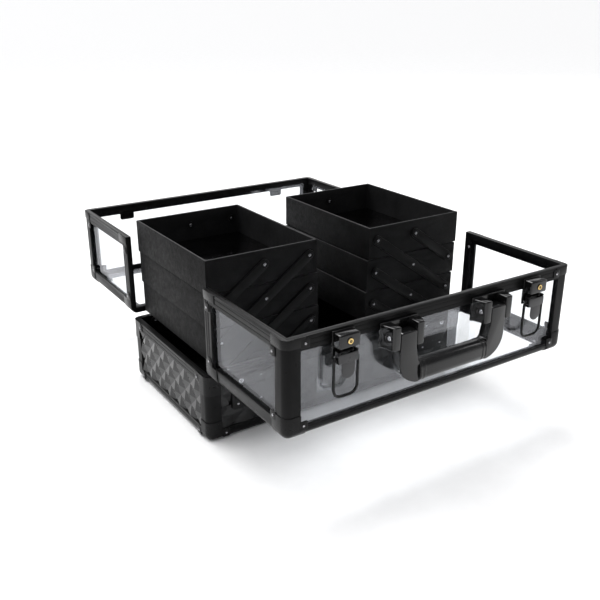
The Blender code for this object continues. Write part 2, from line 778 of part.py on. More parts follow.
def make_handle_bracket(centre_x):
    """A base plate with two tapered ears that hold the leg's pin between them."""
    bottom = CASE_HEIGHT + GAP
    plate_top = bottom + BRACKET_PLATE
    plate_inside = plate_top - BRACKET_PLATE / 3
    ear_top = CASE_HEIGHT + BRACKET_RISE
    slot = LEG_WIDTH / 2 + 2 * GAP
    foot = BRACKET_HALF_FOOT
    crown = BRACKET_HALF_CROWN
    chamfer = BRACKET_CHAMFER
    low_y = HANDLE_Y - BRACKET_HALF_DEPTH
    high_y = HANDLE_Y + BRACKET_HALF_DEPTH
    shapes = [box((centre_x - foot, low_y, bottom), (centre_x + foot, high_y, plate_top))]
    for way in (-1, 1):
        outline = [
            (centre_x + way * slot, plate_inside),
            (centre_x + way * foot, plate_inside),
            (centre_x + way * crown, ear_top - chamfer),
            (centre_x + way * (crown - chamfer), ear_top),
            (centre_x + way * (slot + chamfer / 2), ear_top),
            (centre_x + way * slot, ear_top - chamfer / 2),
        ]
        shapes.append(slab(outline, "Y", low_y + 3 * GAP, high_y - 3 * GAP))
    bracket = union(shapes)
    pivot = (centre_x, HANDLE_Y, CASE_HEIGHT + HANDLE_PIVOT_RISE)
    return difference(bracket, [rod("X", pivot, HANDLE_PIN_RADIUS + 2 * GAP, 3 * foot)])


def handle_outline():
    """The D of the handle seen from the front, from the legs' ends up, as X and height over the pivots."""
    outer = HANDLE_X + LEG_WIDTH / 2
    inner_low = HANDLE_X - LEG_WIDTH / 2
    inner_high = inner_low - LEG_TAPER
    top = HANDLE_TOP_RISE
    under = top - GRIP_HEIGHT + EASED_EDGE
    corner = (outer - HANDLE_CORNER, top - HANDLE_CORNER)
    right = [(outer, -LEG_END), *arc(corner, HANDLE_CORNER, 0, 90, 6)]
    inside = [
        (inner_high - LEG_TAPER, under),
        (inner_high, under - LEG_TAPER),
        (inner_low, LEG_STRAIGHT),
        (inner_low, -LEG_END),
    ]
    outer_left = [(-x, z) for x, z in reversed(right)]
    inner_left = [(-x, z) for x, z in reversed(inside)]
    base = CASE_HEIGHT + HANDLE_PIVOT_RISE
    return [(x, base + z) for x, z in right + outer_left + inner_left + inside]


def make_handle(front_hinge, plastic, grip_material):
    pivot_z = CASE_HEIGHT + HANDLE_PIVOT_RISE
    pivot = pivot_empty("handle_pivot", (0, HANDLE_Y, pivot_z), front_hinge, QUARTER_TURN)
    grip_z = pivot_z + HANDLE_TOP_RISE - GRIP_HEIGHT / 2 + 2 * GAP
    bail = slab(handle_outline(), "Y", HANDLE_Y - LEG_DEPTH / 2, HANDLE_Y + LEG_DEPTH / 2)
    grip_room = GRIP_HALF_LENGTH + GAP
    low = grip_z - GRIP_HEIGHT
    high = grip_z + GRIP_HEIGHT
    difference(bail, [box((-grip_room, -CASE_WIDTH, low), (grip_room, CASE_WIDTH, high))])
    reach = GRIP_HALF_LENGTH + GRIP_CORE_TAIL
    half = GRIP_CORE / 2
    core = box((-reach, HANDLE_Y - half, grip_z - half), (reach, HANDLE_Y + half, grip_z + half))
    pins = []
    for side in (-1, 1):
        pins.append(rod("X", (side * HANDLE_X, HANDLE_Y, pivot_z), HANDLE_PIN_RADIUS, HANDLE_PIN_LENGTH))
    finish(union([core, bail, *pins]), "handle_bail", plastic, pivot)

    half_depth = GRIP_DEPTH / 2
    bottom = grip_z - GRIP_HEIGHT / 2
    top = grip_z + GRIP_HEIGHT / 2
    outline = rounded_rectangle(HANDLE_Y - half_depth, HANDLE_Y + half_depth, bottom, top, GRIP_CORNER, 5)
    grip = slab(outline, "X", -GRIP_HALF_LENGTH, GRIP_HALF_LENGTH)
    room = half + GAP
    bore = box((-CASE_WIDTH, HANDLE_Y - room, grip_z - room), (CASE_WIDTH, HANDLE_Y + room, grip_z + room))
    finish(difference(grip, [bore]), "handle_grip", grip_material, pivot)


# The top latches: a lock body and an over-centre lever with a wire loop on the front half-lid, and a catch
# on the back one.


def make_latch_body(centre_x):
    """A plate with a lock block behind, its key lock on top, and two cheeks round the lever's pin."""
    bottom = CASE_HEIGHT + GAP
    plate_top = bottom + LATCH_PLATE
    plate_inside = plate_top - LATCH_PLATE / 2
    pivot_z = CASE_HEIGHT + LATCH_LEVER_RISE
    block_top = bottom + LATCH_BLOCK_RISE
    half = LATCH_BLOCK_HALF
    plate_half = half + 0.001
    lock_y = (LATCH_BLOCK_FRONT + LATCH_BLOCK_BACK) / 2

    def upper_edge(direction, middle):
        return middle.z > plate_top + GAP

    block_low = (centre_x - half, LATCH_BLOCK_FRONT, plate_inside)
    block_high = (centre_x + half, LATCH_BLOCK_BACK, block_top)
    shapes = [
        box((centre_x - plate_half, -0.031, bottom), (centre_x + plate_half, -0.002, plate_top)),
        box(block_low, block_high, upper_edge, EASED_EDGE, 2),
        rod("Z", (centre_x, lock_y, block_top), LOCK_RADIUS, LOCK_THICK, LOCK_SIDES),
    ]
    foot = 0.004
    crown = 0.0008
    cheek = [
        (LATCH_LEVER_Y + foot, plate_inside),
        (LATCH_LEVER_Y + (foot + crown) / 2, pivot_z),
        (LATCH_LEVER_Y + crown, pivot_z + LEVER_SKIRT),
        (LATCH_LEVER_Y - crown, pivot_z + LEVER_SKIRT),
        (LATCH_LEVER_Y - (foot + crown) / 2, pivot_z),
        (LATCH_LEVER_Y - foot, plate_inside),
    ]
    for way in (-1, 1):
        near, far = sorted((centre_x + way * CHEEK_INNER, centre_x + way * CHEEK_OUTER))
        shapes.append(slab(cheek, "X", near, far))
    body = union(shapes)
    pin_room = LEVER_PIN_RADIUS + 4 * GAP / 3
    return difference(body, [rod("X", (centre_x, LATCH_LEVER_Y, pivot_z), pin_room, 3 * half)])


def make_latch_lever(centre_x):
    """A plate with side skirts round the pivot and a round tongue in front of it."""
    pivot_z = CASE_HEIGHT + LATCH_LEVER_RISE
    skin_low = pivot_z + LEVER_SKIN_RISE
    skin_high = skin_low + LEVER_SKIN
    half = LEVER_HALF
    skirt = 0.0025
    rear = LATCH_LEVER_Y - 0.0005
    front = LATCH_LEVER_Y - 0.010
    shapes = [box((centre_x - half, front, skin_low), (centre_x + half, rear, skin_high))]
    for way in (-1, 1):
        near, far = sorted((centre_x + way * (half - skirt), centre_x + way * half))
        low_corner = (near, front, pivot_z - LEVER_SKIRT)
        shapes.append(box(low_corner, (far, LATCH_LEVER_Y + 0.002, skin_high - GAP)))
    pin_length = 2 * (half - GAP)
    shapes.append(rod("X", (centre_x, LATCH_LEVER_Y, pivot_z), LEVER_PIN_RADIUS, pin_length))
    tip_centre = (centre_x, LATCH_LEVER_Y - LEVER_REACH + TONGUE_HALF)
    tongue = [
        (centre_x + TONGUE_HALF, front + LEVER_SKIN),
        (centre_x - TONGUE_HALF, front + LEVER_SKIN),
        *arc(tip_centre, TONGUE_HALF, 180, 360, 8),
    ]
    inset = GAP / 3
    shapes.append(slab(tongue, "Z", skin_low + inset, skin_high - inset))
    lever = union(shapes)
    loop_at = (centre_x, LATCH_LEVER_Y - LOOP_SETBACK, pivot_z)
    return difference(lever, [rod("X", loop_at, WIRE_RADIUS + 4 * GAP / 3, 4 * half)])


def make_latch_loop(centre_x, name, material, pivot):
    """A bent wire, hanging towards the front: its two ends turn inwards into the lever's skirts."""
    near_corner = (LOOP_HALF_WIDTH - LOOP_TURN, -LOOP_TURN)
    far_corner = (LOOP_HALF_WIDTH - LOOP_CORNER, LOOP_CORNER - LOOP_LENGTH)
    right = [
        (LOOP_END_HALF, 0.0),
        *arc(near_corner, LOOP_TURN, 90, 0, 4),
        *arc(far_corner, LOOP_CORNER, 0, -90, 6),
    ]
    left = [(-x, y) for x, y in reversed(right)]
    curve = bpy.data.curves.new(name, "CURVE")
    curve.dimensions = "3D"
    curve.bevel_depth = WIRE_RADIUS
    curve.bevel_resolution = 1
    curve.use_fill_caps = True
    curve.materials.append(material)
    spline = curve.splines.new("POLY")
    route = right + left
    spline.points.add(len(route) - 1)
    for point, (x, y) in zip(spline.points, route):
        point.co = (x, y, 0.0, 1.0)
    loop = bpy.data.objects.new(name, curve)
    bpy.context.scene.collection.objects.link(loop)
    loop.parent = pivot


def make_catch(centre_x):
    """The hook on the back half-lid: a riveted foot, a post inside the loop and a rounded lip over it."""
    bottom = CASE_HEIGHT + GAP
    foot_top = bottom + CATCH_FOOT_THICK
    lip_low = CASE_HEIGHT + LATCH_LEVER_RISE + WIRE_RADIUS + 2 * GAP
    lip_high = lip_low + CATCH_LIP_THICK
    half = CATCH_LIP_HALF
    post_half = 0.006
    near = 0.003
    lip = [(centre_x + half, near), *arc((centre_x, CATCH_LIP_END - half), half, 0, 180, 8)]
    lip.append((centre_x - half, near))
    foot_half = half + 0.002
    shapes = [
        box((centre_x - foot_half, near / 2, bottom), (centre_x + foot_half, 0.024, foot_top)),
        box(
            (centre_x - post_half, near, foot_top - CATCH_FOOT_THICK / 2),
            (centre_x + post_half, near + 0.0065, lip_high - CATCH_LIP_THICK / 4),
        ),
        slab(lip, "Z", lip_low, lip_high),
    ]
    for way in (-1, 1):
        centre = (centre_x + way * 0.0075, CATCH_LIP_END, foot_top + GAP)
        shapes.append(rod("Z", centre, RIVET_SIZE, PIN_HEAD, PIN_SIDES, tip_radius=RIVET_SIZE * 0.6))
    return union(shapes)


def make_top_latch(side_name, side, front_hinge, back_hinge, metal, wire):
    centre_x = side * LATCH_X
    pivot_z = CASE_HEIGHT + LATCH_LEVER_RISE
    loop_y = LATCH_LEVER_Y - LOOP_SETBACK
    finish(make_latch_body(centre_x), f"{side_name}_latch_body", metal, front_hinge)
    lever_pivot = pivot_empty(
        f"{side_name}_latch_lever_pivot", (centre_x, LATCH_LEVER_Y, pivot_z), front_hinge
    )
    finish(make_latch_lever(centre_x), f"{side_name}_latch_lever", metal, lever_pivot)
    loop_pivot = pivot_empty(f"{side_name}_latch_loop_pivot", (centre_x, loop_y, pivot_z), lever_pivot)
    make_latch_loop(centre_x, f"{side_name}_latch_loop", wire, loop_pivot)
    finish(make_catch(centre_x), f"{side_name}_latch_catch", metal, back_hinge)


def main():
    clear_scene()
    satin_black = make_material("black_anodised_aluminium", (0.022, 0.022, 0.024), 0.38, 0.6)
    hardware = make_material("black_hardware", (0.018, 0.018, 0.019), 0.35, 0.7)
    diamond = make_material("black_diamond_sheet", (0.012, 0.012, 0.014), 0.3, 0.0)
    lining = make_material("black_lining", (0.010, 0.010, 0.011), 0.8, 0.0)
    leather = make_material("black_grained_board", (0.030, 0.030, 0.032), 0.7, 0.0)
    painted = make_material("black_painted_steel", (0.015, 0.015, 0.016), 0.45, 0.5)
    clear = make_material("clear_acrylic", (0.90, 0.92, 0.93), 0.05, 0.0, alpha=0.15)
    plastic = make_material("black_gloss_plastic", (0.012, 0.012, 0.013), 0.22, 0.0)

    root = pivot_empty("case_origin", (0, 0, 0))
    front_hinge = pivot_empty("front_lid_hinge", (0, -HINGE_Y, SEAM_HEIGHT), root, QUARTER_TURN)
    back_hinge = pivot_empty("back_lid_hinge", (0, HINGE_Y, SEAM_HEIGHT), root, -QUARTER_TURN)

    make_base_frame(root, satin_black)
    make_base_tub(root, lining)
    make_diamond_panels(root, diamond)
    make_half_lid("front", front_hinge, False, satin_black, clear)
    make_half_lid("back", back_hinge, True, satin_black, clear)
    for side_name, side in (("left", -1), ("right", 1)):
        make_tray_group(side_name, side, root, leather, painted)
        make_clasp(side_name, side, root, front_hinge, hardware)
        make_back_hinge(side_name, side, root, back_hinge, hardware)
        bracket = make_handle_bracket(side * HANDLE_X)
        finish(bracket, f"{side_name}_handle_bracket", plastic, front_hinge)
        make_top_latch(side_name, side, front_hinge, back_hinge, hardware, painted)
    make_handle(front_hinge, plastic, plastic)


main()
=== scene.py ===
"""Looks of the makeup train case: finer frames, trays, arms, handle and fittings around the CAD frame.

Pieces are modelled with the case shut, X along it, -Y to the front and Z up, and then placed on the open
case by the same turns that the joints make. Base and trays are the same in both.
"""

import json
import math

import bmesh
import bpy
from mathutils import Matrix, Vector


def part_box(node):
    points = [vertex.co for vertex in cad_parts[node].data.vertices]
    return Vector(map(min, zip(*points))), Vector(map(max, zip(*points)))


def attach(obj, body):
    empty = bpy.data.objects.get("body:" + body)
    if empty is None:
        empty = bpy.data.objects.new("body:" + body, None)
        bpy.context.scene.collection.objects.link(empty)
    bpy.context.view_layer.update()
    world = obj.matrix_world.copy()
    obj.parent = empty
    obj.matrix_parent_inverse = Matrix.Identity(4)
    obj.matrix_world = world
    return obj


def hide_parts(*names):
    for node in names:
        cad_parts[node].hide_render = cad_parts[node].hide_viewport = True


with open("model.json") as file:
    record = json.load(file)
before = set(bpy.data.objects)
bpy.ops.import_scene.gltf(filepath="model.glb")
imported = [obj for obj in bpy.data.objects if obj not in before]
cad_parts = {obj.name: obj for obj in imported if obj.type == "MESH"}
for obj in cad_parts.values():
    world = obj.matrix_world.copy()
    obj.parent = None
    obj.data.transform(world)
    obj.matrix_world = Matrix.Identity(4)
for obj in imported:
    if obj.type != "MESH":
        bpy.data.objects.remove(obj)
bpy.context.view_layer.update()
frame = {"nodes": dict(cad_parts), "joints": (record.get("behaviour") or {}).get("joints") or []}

JOINTS = {joint["name"]: joint for joint in frame["joints"]}
MM = 0.001
QUARTER = math.pi / 2


# Where things are, read from the frame.


def joint_at(name):
    return Vector(JOINTS[name]["pos_m"])


def turned_about(point, angle):
    """A turn about a line along X through the point."""
    return Matrix.Translation(point) @ Matrix.Rotation(angle, 4, "X") @ Matrix.Translation(-point)


STILL = Matrix.Identity(4)
FRONT = turned_about(joint_at("front_lid_hinge"), QUARTER)
BACK = turned_about(joint_at("back_lid_hinge"), -QUARTER)
HANDLE_AXIS = FRONT.inverted() @ joint_at("handle_swing")
HANDLE = FRONT @ turned_about(HANDLE_AXIS, QUARTER)
FLIP_Y = Matrix.Diagonal((1, -1, 1, 1))


def shut_box(node, place=STILL):
    """A node's lowest and highest corners with the case shut."""
    corners = [place.inverted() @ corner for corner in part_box(node)]
    low = Vector(min(pair) for pair in zip(*corners))
    high = Vector(max(pair) for pair in zip(*corners))
    return low, high


BASE_LOW, BASE_HIGH = shut_box("base_frame")
LID_LOW, LID_HIGH = shut_box("front_lid_frame", FRONT)
HALF_LENGTH = BASE_HIGH.x
HALF_WIDTH = BASE_HIGH.y
BASE_TOP = BASE_HIGH.z
SEAM = joint_at("front_lid_hinge").z
HINGE_Y = -joint_at("front_lid_hinge").y
LID_TOP = LID_HIGH.z
GAP = SEAM - BASE_TOP
PANEL_LOW, PANEL_HIGH = shut_box("front_diamond_panel")
POST = HALF_LENGTH - PANEL_HIGH.x - GAP
LOW_RAIL = PANEL_LOW.z - GAP
RIM_RAIL = BASE_TOP - PANEL_HIGH.z - GAP
OPEN_X = HALF_LENGTH - POST
OPEN_Y = HALF_WIDTH - POST
FAR = 3 * HALF_LENGTH
SEAM_RAIL = 14 * MM
TOP_EDGE_RAIL = 9 * MM
SKIN = 3 * MM
RIM = SKIN + 4 * MM
ROUND = 8 * MM
LIP = 6.5 * MM
LIP_HEIGHT = 9 * MM
RIM_CAP = 2.5 * MM
ORIGIN = (0, 0, 0)


# Shapes, which are bmeshes.


def eased(bm, width, segments=2, above=30):
    """The shape with its edges rounded where they turn by more than so many degrees."""
    if width:
        limit = math.radians(above)
        sharp = [edge for edge in bm.edges if len(edge.link_faces) == 2 and edge.calc_face_angle(0) > limit]
        bmesh.ops.bevel(
            bm, geom=sharp, offset=width, segments=segments, affect="EDGES", profile=0.5, clamp_overlap=True
        )
    return bm


def span(side, first, second, middle=0.0):
    """Two places on one side of a middle, the lower first."""
    return sorted((middle + side * first, middle + side * second))


def middle_and_half(low, high):
    """The middle of a box along X, and half its length there."""
    middle = (low.x + high.x) / 2
    return middle, high.x - middle


def block(low, high, ease=0.4 * MM, segments=2):
    low = Vector(low)
    high = Vector(high)
    bm = bmesh.new()
    bmesh.ops.create_cube(bm, size=1.0)
    bmesh.ops.scale(bm, vec=high - low, verts=bm.verts)
    bmesh.ops.translate(bm, vec=(low + high) / 2, verts=bm.verts)
    return eased(bm, ease, segments)


def across(position, first, second, along=0.0):
    """A point from its two coordinates across an axis and the one along it."""
    point = [first, second]
    point.insert(position, along)
    return Vector(point)


def plate(outline, axis, low, high, ease=0.4 * MM, segments=2):
    """An outline in the plane across axis, extruded from low to high along it."""
    position = "XYZ".index(axis)
    bm = bmesh.new()
    face = bm.faces.new([bm.verts.new(across(position, *point, low)) for point in outline])
    grown = bmesh.ops.extrude_face_region(bm, geom=[face])["geom"]
    push = Vector(ORIGIN)
    push[position] = high - low
    bmesh.ops.translate(bm, vec=push, verts=[v for v in grown if isinstance(v, bmesh.types.BMVert)])
    bmesh.ops.recalc_face_normals(bm, faces=bm.faces)
    return eased(bm, ease, segments)


def skinned(bm, rings):
    """The solid through rings of points, with a face over each end."""
    sides = len(rings[0])
    for lower, upper in zip(rings, rings[1:]):
        for step in range(sides):
            after = (step + 1) % sides
            bm.faces.new((lower[step], lower[after], upper[after], upper[step]))
    bm.faces.new(rings[0])
    bm.faces.new(rings[-1])
    bmesh.ops.recalc_face_normals(bm, faces=bm.faces)
    return bm


def lathe(profile, centre=ORIGIN, axis="Z", way=1, sides=20):
    """A turned shape with flat ends. profile lists (radius, distance along the axis)."""
    turns = {"X": Matrix.Rotation(QUARTER, 4, "Y"), "Y": Matrix.Rotation(-QUARTER, 4, "X"), "Z": STILL}
    place = Matrix.Translation(centre) @ turns[axis]
    bm = bmesh.new()
    rings = []
    for radius, along in profile:
        ring = []
        for step in range(sides):
            angle = 2 * math.pi * step / sides
            spot = Vector((radius * math.cos(angle), radius * math.sin(angle), way * along))
            ring.append(bm.verts.new(place @ spot))
        rings.append(ring)
    return skinned(bm, rings)


def arc(centre, radius, start, end, steps):
    x, y = centre
    angles = [math.radians(start + (end - start) * step / steps) for step in range(steps + 1)]
    return [(x + radius * math.cos(angle), y + radius * math.sin(angle)) for angle in angles]


def rounded_outline(left, right, bottom, top, radius, steps=5):
    points = []
    for x, y, start in (
        (right - radius, top - radius, 0),
        (left + radius, top - radius, 90),
        (left + radius, bottom + radius, 180),
        (right - radius, bottom + radius, 270),
    ):
        points += arc((x, y), radius, start, start + 90, steps)
    return points


def bar_outline(start, end, radius, steps):
    """A flat bar with round ends about two points."""
    heading = math.degrees(math.atan2(end[1] - start[1], end[0] - start[0]))
    start_end = arc(start, radius, heading + 90, heading + 270, steps)
    return start_end + arc(end, radius, heading - 90, heading + 90, steps)


def rod(axis, centre, radius, length, sides=20, ease=0.3 * MM):
    half = length / 2
    end = radius - ease
    profile = [(end, -half), (radius, -half + ease), (radius, half - ease), (end, half)]
    return lathe(profile, centre, axis, sides=sides)


def dome(radius, height, centre=ORIGIN, axis="Z", way=1):
    """A rivet's or screw's low round head, standing on the point centre."""
    profile = [(radius, 0)]
    for angle in (15, 35, 55, 75):
        turn = math.radians(angle)
        profile.append((radius * math.cos(turn), height * math.sin(turn)))
    return lathe(profile, centre, axis, way, sides=16)


def in_mm(*profile):
    return [(radius * MM, along * MM) for radius, along in profile]


def moved(bm, matrix):
    bmesh.ops.transform(bm, matrix=matrix, verts=bm.verts)
    if matrix.determinant() < 0:
        bmesh.ops.reverse_faces(bm, faces=bm.faces)
    return bm


def bent_wire(route, radius, sides):
    """A round bar swept along a route of points."""
    bm = bmesh.new()
    rings = []
    for index, point in enumerate(route):
        before = route[max(index - 1, 0)]
        after = route[min(index + 1, len(route) - 1)]
        heading = (after - before).normalized()
        side = heading.cross(Vector((0, 0, 1))).normalized()
        up = side.cross(heading)
        ring = []
        for step in range(sides):
            angle = 2 * math.pi * step / sides
            ring.append(bm.verts.new(point + radius * (math.cos(angle) * side + math.sin(angle) * up)))
        rings.append(ring)
    return skinned(bm, rings)


def as_mesh(name, bm):
    """A mesh of a shape, which is freed."""
    mesh = bpy.data.meshes.new(name)
    bm.to_mesh(mesh)
    bm.free()
    return mesh


def add_shape(whole, shape):
    """Moves a shape into a larger one."""
    part = as_mesh("part", shape)
    whole.from_mesh(part)
    bpy.data.meshes.remove(part)


def gathered(shapes):
    """Separate shapes as one."""
    whole = bmesh.new()
    for shape in shapes:
        add_shape(whole, shape)
    return whole


# Pieces.

SMOOTH_UNDER = math.radians(35)


def in_scene(name, data):
    obj = bpy.data.objects.new(name, data)
    bpy.context.scene.collection.objects.link(obj)
    return obj


def piece(name, parts, body, place=STILL, stands_for=()):
    """One object made of (shape, material) pairs in shut-case coordinates, which rides on a body."""
    mesh = bpy.data.meshes.new(name)
    whole = bmesh.new()
    for shape, material in parts:
        if material.name not in mesh.materials:
            mesh.materials.append(material)
        index = mesh.materials.find(material.name)
        for face in shape.faces:
            face.material_index = index
        add_shape(whole, shape)
    whole.to_mesh(mesh)
    whole.free()
    mesh.transform(place)
    mesh.shade_smooth()
    mesh.set_sharp_from_angle(angle=SMOOTH_UNDER)
    obj = in_scene(name, mesh)
    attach(obj, body)
    if stands_for:
        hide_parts(*stands_for)
    return obj


def carved(base, cutters, operation="DIFFERENCE"):
    """A bmesh after exact Booleans with each cutter."""
    target, *others = [in_scene("shape", as_mesh("shape", bm)) for bm in (base, *cutters)]
    for other in others:
        modifier = target.modifiers.new("cut", "BOOLEAN")
        modifier.operation = operation
        modifier.object = other
    graph = bpy.context.evaluated_depsgraph_get()
    graph.update()
    result = bpy.data.meshes.new_from_object(target.evaluated_get(graph))
    bm = bmesh.new()
    bm.from_mesh(result)
    for obj in (target, *others):
        bpy.data.objects.remove(obj, do_unlink=True)
    bpy.data.meshes.remove(result)
    return bm


def tidied(bm, ease, segments=2):
    """A shape from a Boolean, with the edges rounded that are clearly sharp."""
    return eased(bm, ease, segments, above=40)


def rounded_box(low, high, radius, chosen):
    """A box with some edges rounded: those for whose direction and middle chosen says so."""
    bm = block(low, high, ease=0)
    edges = []
    for edge in bm.edges:
        start, end = (vertex.co for vertex in edge.verts)
        if chosen((end - start).normalized(), (start + end) / 2):
            edges.append(edge)
    bmesh.ops.bevel(bm, geom=edges, offset=radius, segments=8, affect="EDGES", profile=0.5)
    return bm


# Materials.

GRAIN_DEPTH = 0.15 * MM
NOISE_LOW = 0.3
NOISE_HIGH = 0.7


def feed(tree, socket, value):
    """Sets an input to a value, or links it to the output that drives it."""
    if isinstance(value, bpy.types.NodeSocket):
        tree.links.new(value, socket)
    else:
        socket.default_value = value


def feed_all(tree, made, **inputs):
    for name, value in inputs.items():
        feed(tree, made.inputs[name.replace("_", " ")], value)


def node(tree, kind, **inputs):
    made = tree.nodes.new("ShaderNode" + kind)
    feed_all(tree, made, **inputs)
    return made


def noise(tree, coordinates, scale, detail, roughness=0.5):
    made = node(tree, "TexNoise", Vector=coordinates, Scale=scale, Detail=detail, Roughness=roughness)
    return made.outputs["Fac"]


def remapped(tree, source, low, high, start=NOISE_LOW, end=NOISE_HIGH):
    """A value spread from one range to another."""
    spread = node(tree, "MapRange", Value=source, From_Min=start, From_Max=end, To_Min=low, To_Max=high)
    return spread.outputs["Result"]


def colour_ramp(tree, source, *stops):
    """A colour between two (position, colour) stops."""
    ramp = node(tree, "ValToRGB", Fac=source)
    for element, (position, colour) in zip(ramp.color_ramp.elements, stops):
        element.position = position
        element.color = (*colour, 1)
    return ramp.outputs["Color"]


def combined(tree, operation, *values):
    """The result of a Math node on two values or outputs."""
    made = node(tree, "Math")
    made.operation = operation
    for socket, value in zip(made.inputs, values):
        feed(tree, socket, value)
    return made.outputs["Value"]


def grain_height(tree, coordinates, kind, scale):
    """The fine relief of a surface: leather cells, a woven cloth, or the specks of paint."""
    if kind == "leather":
        cells = node(tree, "TexVoronoi", Vector=coordinates, Scale=scale, Randomness=1.0)
        cells.feature = "SMOOTH_F1"
        return combined(tree, "ADD", cells.outputs["Distance"], noise(tree, coordinates, scale * 3, 3.0))
    if kind == "woven":
        threads = []
        for direction in ("X", "Y"):
            wave = node(tree, "TexWave", Vector=coordinates, Scale=scale, Distortion=1.5)
            wave.bands_direction = direction
            threads.append(wave.outputs["Fac"])
        return combined(tree, "MAXIMUM", *threads)
    return noise(tree, coordinates, scale, 4.0)


def new_material(name):
    """A new material, its node tree and its shader."""
    material = bpy.data.materials.new(name)
    material.use_nodes = True
    tree = material.node_tree
    return material, tree, tree.nodes["Principled BSDF"]


def surface(
    name, dark, light, roughness, grain=1500, relief=0.2, specular=0.5, metallic=0.0, kind="specks"
):
    """A material whose colour and roughness vary over the surface, with a fine relief."""
    material, tree, shader = new_material(name)
    coordinates = node(tree, "TexCoord").outputs["Object"]
    patches = noise(tree, coordinates, 28.0, 5.0, 0.6)
    wipes = noise(tree, coordinates, 160.0, 4.0, 0.7)
    height = grain_height(tree, coordinates, kind, grain)
    bump = node(tree, "Bump", Strength=relief, Distance=GRAIN_DEPTH, Height=height)
    feed_all(
        tree, shader, Metallic=metallic, Specular_IOR_Level=specular, Normal=bump.outputs["Normal"],
        Base_Color=colour_ramp(tree, patches, (NOISE_LOW, dark), (NOISE_HIGH, light)),
        Roughness=remapped(tree, wipes, *roughness),
    )
    return material


def clear_sheet(name, veil, gloss):
    """Polished acrylic: see-through, more mirror-like the flatter it is looked at, and faintly smudged."""
    material, tree, shader = new_material(name)
    smudges = noise(tree, node(tree, "TexCoord").outputs["Object"], 16.0, 6.0, 0.65)
    polish = remapped(tree, smudges, *gloss)
    feed_all(tree, shader, Base_Color=(0.80, 0.81, 0.85, 1), Metallic=1.0, Roughness=polish)
    through = node(tree, "BsdfTransparent", Color=(0.965, 0.972, 0.978, 1))
    facing = node(tree, "LayerWeight", Blend=0.5).outputs["Facing"]
    share = remapped(tree, combined(tree, "POWER", facing, 5.0), veil, 1.0, 0.0, 1.0)
    haze = combined(tree, "ADD", share, remapped(tree, smudges, 0.0, 0.3 * veil))
    mix = node(tree, "MixShader", Fac=haze)
    tree.links.new(through.outputs["BSDF"], mix.inputs[1])
    tree.links.new(shader.outputs["BSDF"], mix.inputs[2])
    tree.links.new(mix.outputs["Shader"], tree.nodes["Material Output"].inputs["Surface"])
    return material


def grey(value, blue=1.04):
    return value, value, value * blue


def dull(name, darkest, lightest, *rest, **others):
    """A dark paint, plastic, board or cloth between two greys."""
    return surface(name, grey(darkest), grey(lightest), *rest, **others)


def metal(name, dark, light, roughness):
    return surface(name, dark, light, roughness, relief=0.12, metallic=1.0)


SATIN = dull("satin_black", 0.003, 0.006, (0.26, 0.38), 2600, 0.03, 0.10)
CAPS = dull("satin_black_caps", 0.003, 0.006, (0.24, 0.36), 2200, 0.03, 0.15)
ENAMEL = dull("black_enamel", 0.003, 0.005, (0.14, 0.26), 1500, 0.08, 0.2)
TONGUE = dull("grey_enamel", 0.030, 0.045, (0.26, 0.38), 1500, 0.10, 0.4, metallic=0.3)
PRESSED = dull("pressed_black_sheet", 0.003, 0.005, (0.10, 0.18), 700, 0.04, 0.32)
CLOTH = dull("black_lining", 0.003, 0.005, (0.8, 0.95), 500, 0.5, 0.06, kind="woven")
BOARD = dull("grained_board", 0.0035, 0.0085, (0.46, 0.66), 620, 0.9, 0.07, kind="leather")
RIMS = dull("board_edge", 0.018, 0.032, (0.5, 0.7), 900, 0.4, 0.15, kind="leather")
MAT_SHEET = surface("tray_mat", grey(0.22), grey(0.30), (0.05, 0.10), 300, 0.02, metallic=1.0)
ARM_PAINT = dull("arm_paint", 0.0025, 0.0045, (0.30, 0.42), 2400, 0.02, 0.10)
GLOSS = dull("gloss_black_plastic", 0.0025, 0.0045, (0.10, 0.18), 500, 0.02, 0.42)
GRIP = dull("grip_plastic", 0.006, 0.010, (0.18, 0.28), 900, 0.02, 0.35)
STEEL = metal("rivet_steel", grey(0.32), grey(0.46), (0.16, 0.30))
NICKEL = metal("nickel", grey(0.55), grey(0.72), (0.14, 0.28))
PIN_STEEL = metal("pin_steel", grey(0.18), grey(0.30), (0.18, 0.32))
BRASS = metal("brass", (0.60, 0.42, 0.16), (0.78, 0.58, 0.25), (0.18, 0.32))
# Dark matt colour for a lock's middle: painted shade standing for its keyhole.
KEYHOLE_SHADE = dull("painted_keyhole_shade", 0.003, 0.005, (0.5, 0.8))
PALE = surface("pale_floor", grey(0.84, 1.0), grey(0.88, 1.0), (0.55, 0.65), 40, 0.02)
CLEAR = clear_sheet("clear_acrylic", 0.016, (0.01, 0.06))
CLEAR_TOP = clear_sheet("clear_acrylic_top", 0.065, (0.04, 0.12))


# Frames with their corner caps, tabs and rivets.

# Each face's turn from the flat, which turns Z outwards, its axis, and its distance from the middle.
FACES = {
    "front": (Matrix(((1, 0, 0), (0, 0, -1), (0, 1, 0))), 1, HALF_WIDTH),
    "back": (Matrix(((-1, 0, 0), (0, 0, 1), (0, 1, 0))), 1, HALF_WIDTH),
    "left": (Matrix(((0, 0, -1), (-1, 0, 0), (0, 1, 0))), 0, HALF_LENGTH),
    "right": (Matrix(((0, 0, 1), (1, 0, 0), (0, 1, 0))), 0, HALF_LENGTH),
    "top": (Matrix.Identity(3), 2, LID_TOP),
}


def on_face(face, first, second, shape, rise=0.0):
    """A shape that stands on Z 0, set on one of the case's faces at its two coordinates there."""
    turn, position, distance = FACES[face]
    spot = across(position, first, second) + turn.col[2] * (distance + rise)
    return moved(shape, Matrix.Translation(spot) @ turn.to_4x4())


TAB_THICK = 0.9 * MM
TAB_HALF = 4.8 * MM
RIVET = 1.35 * MM


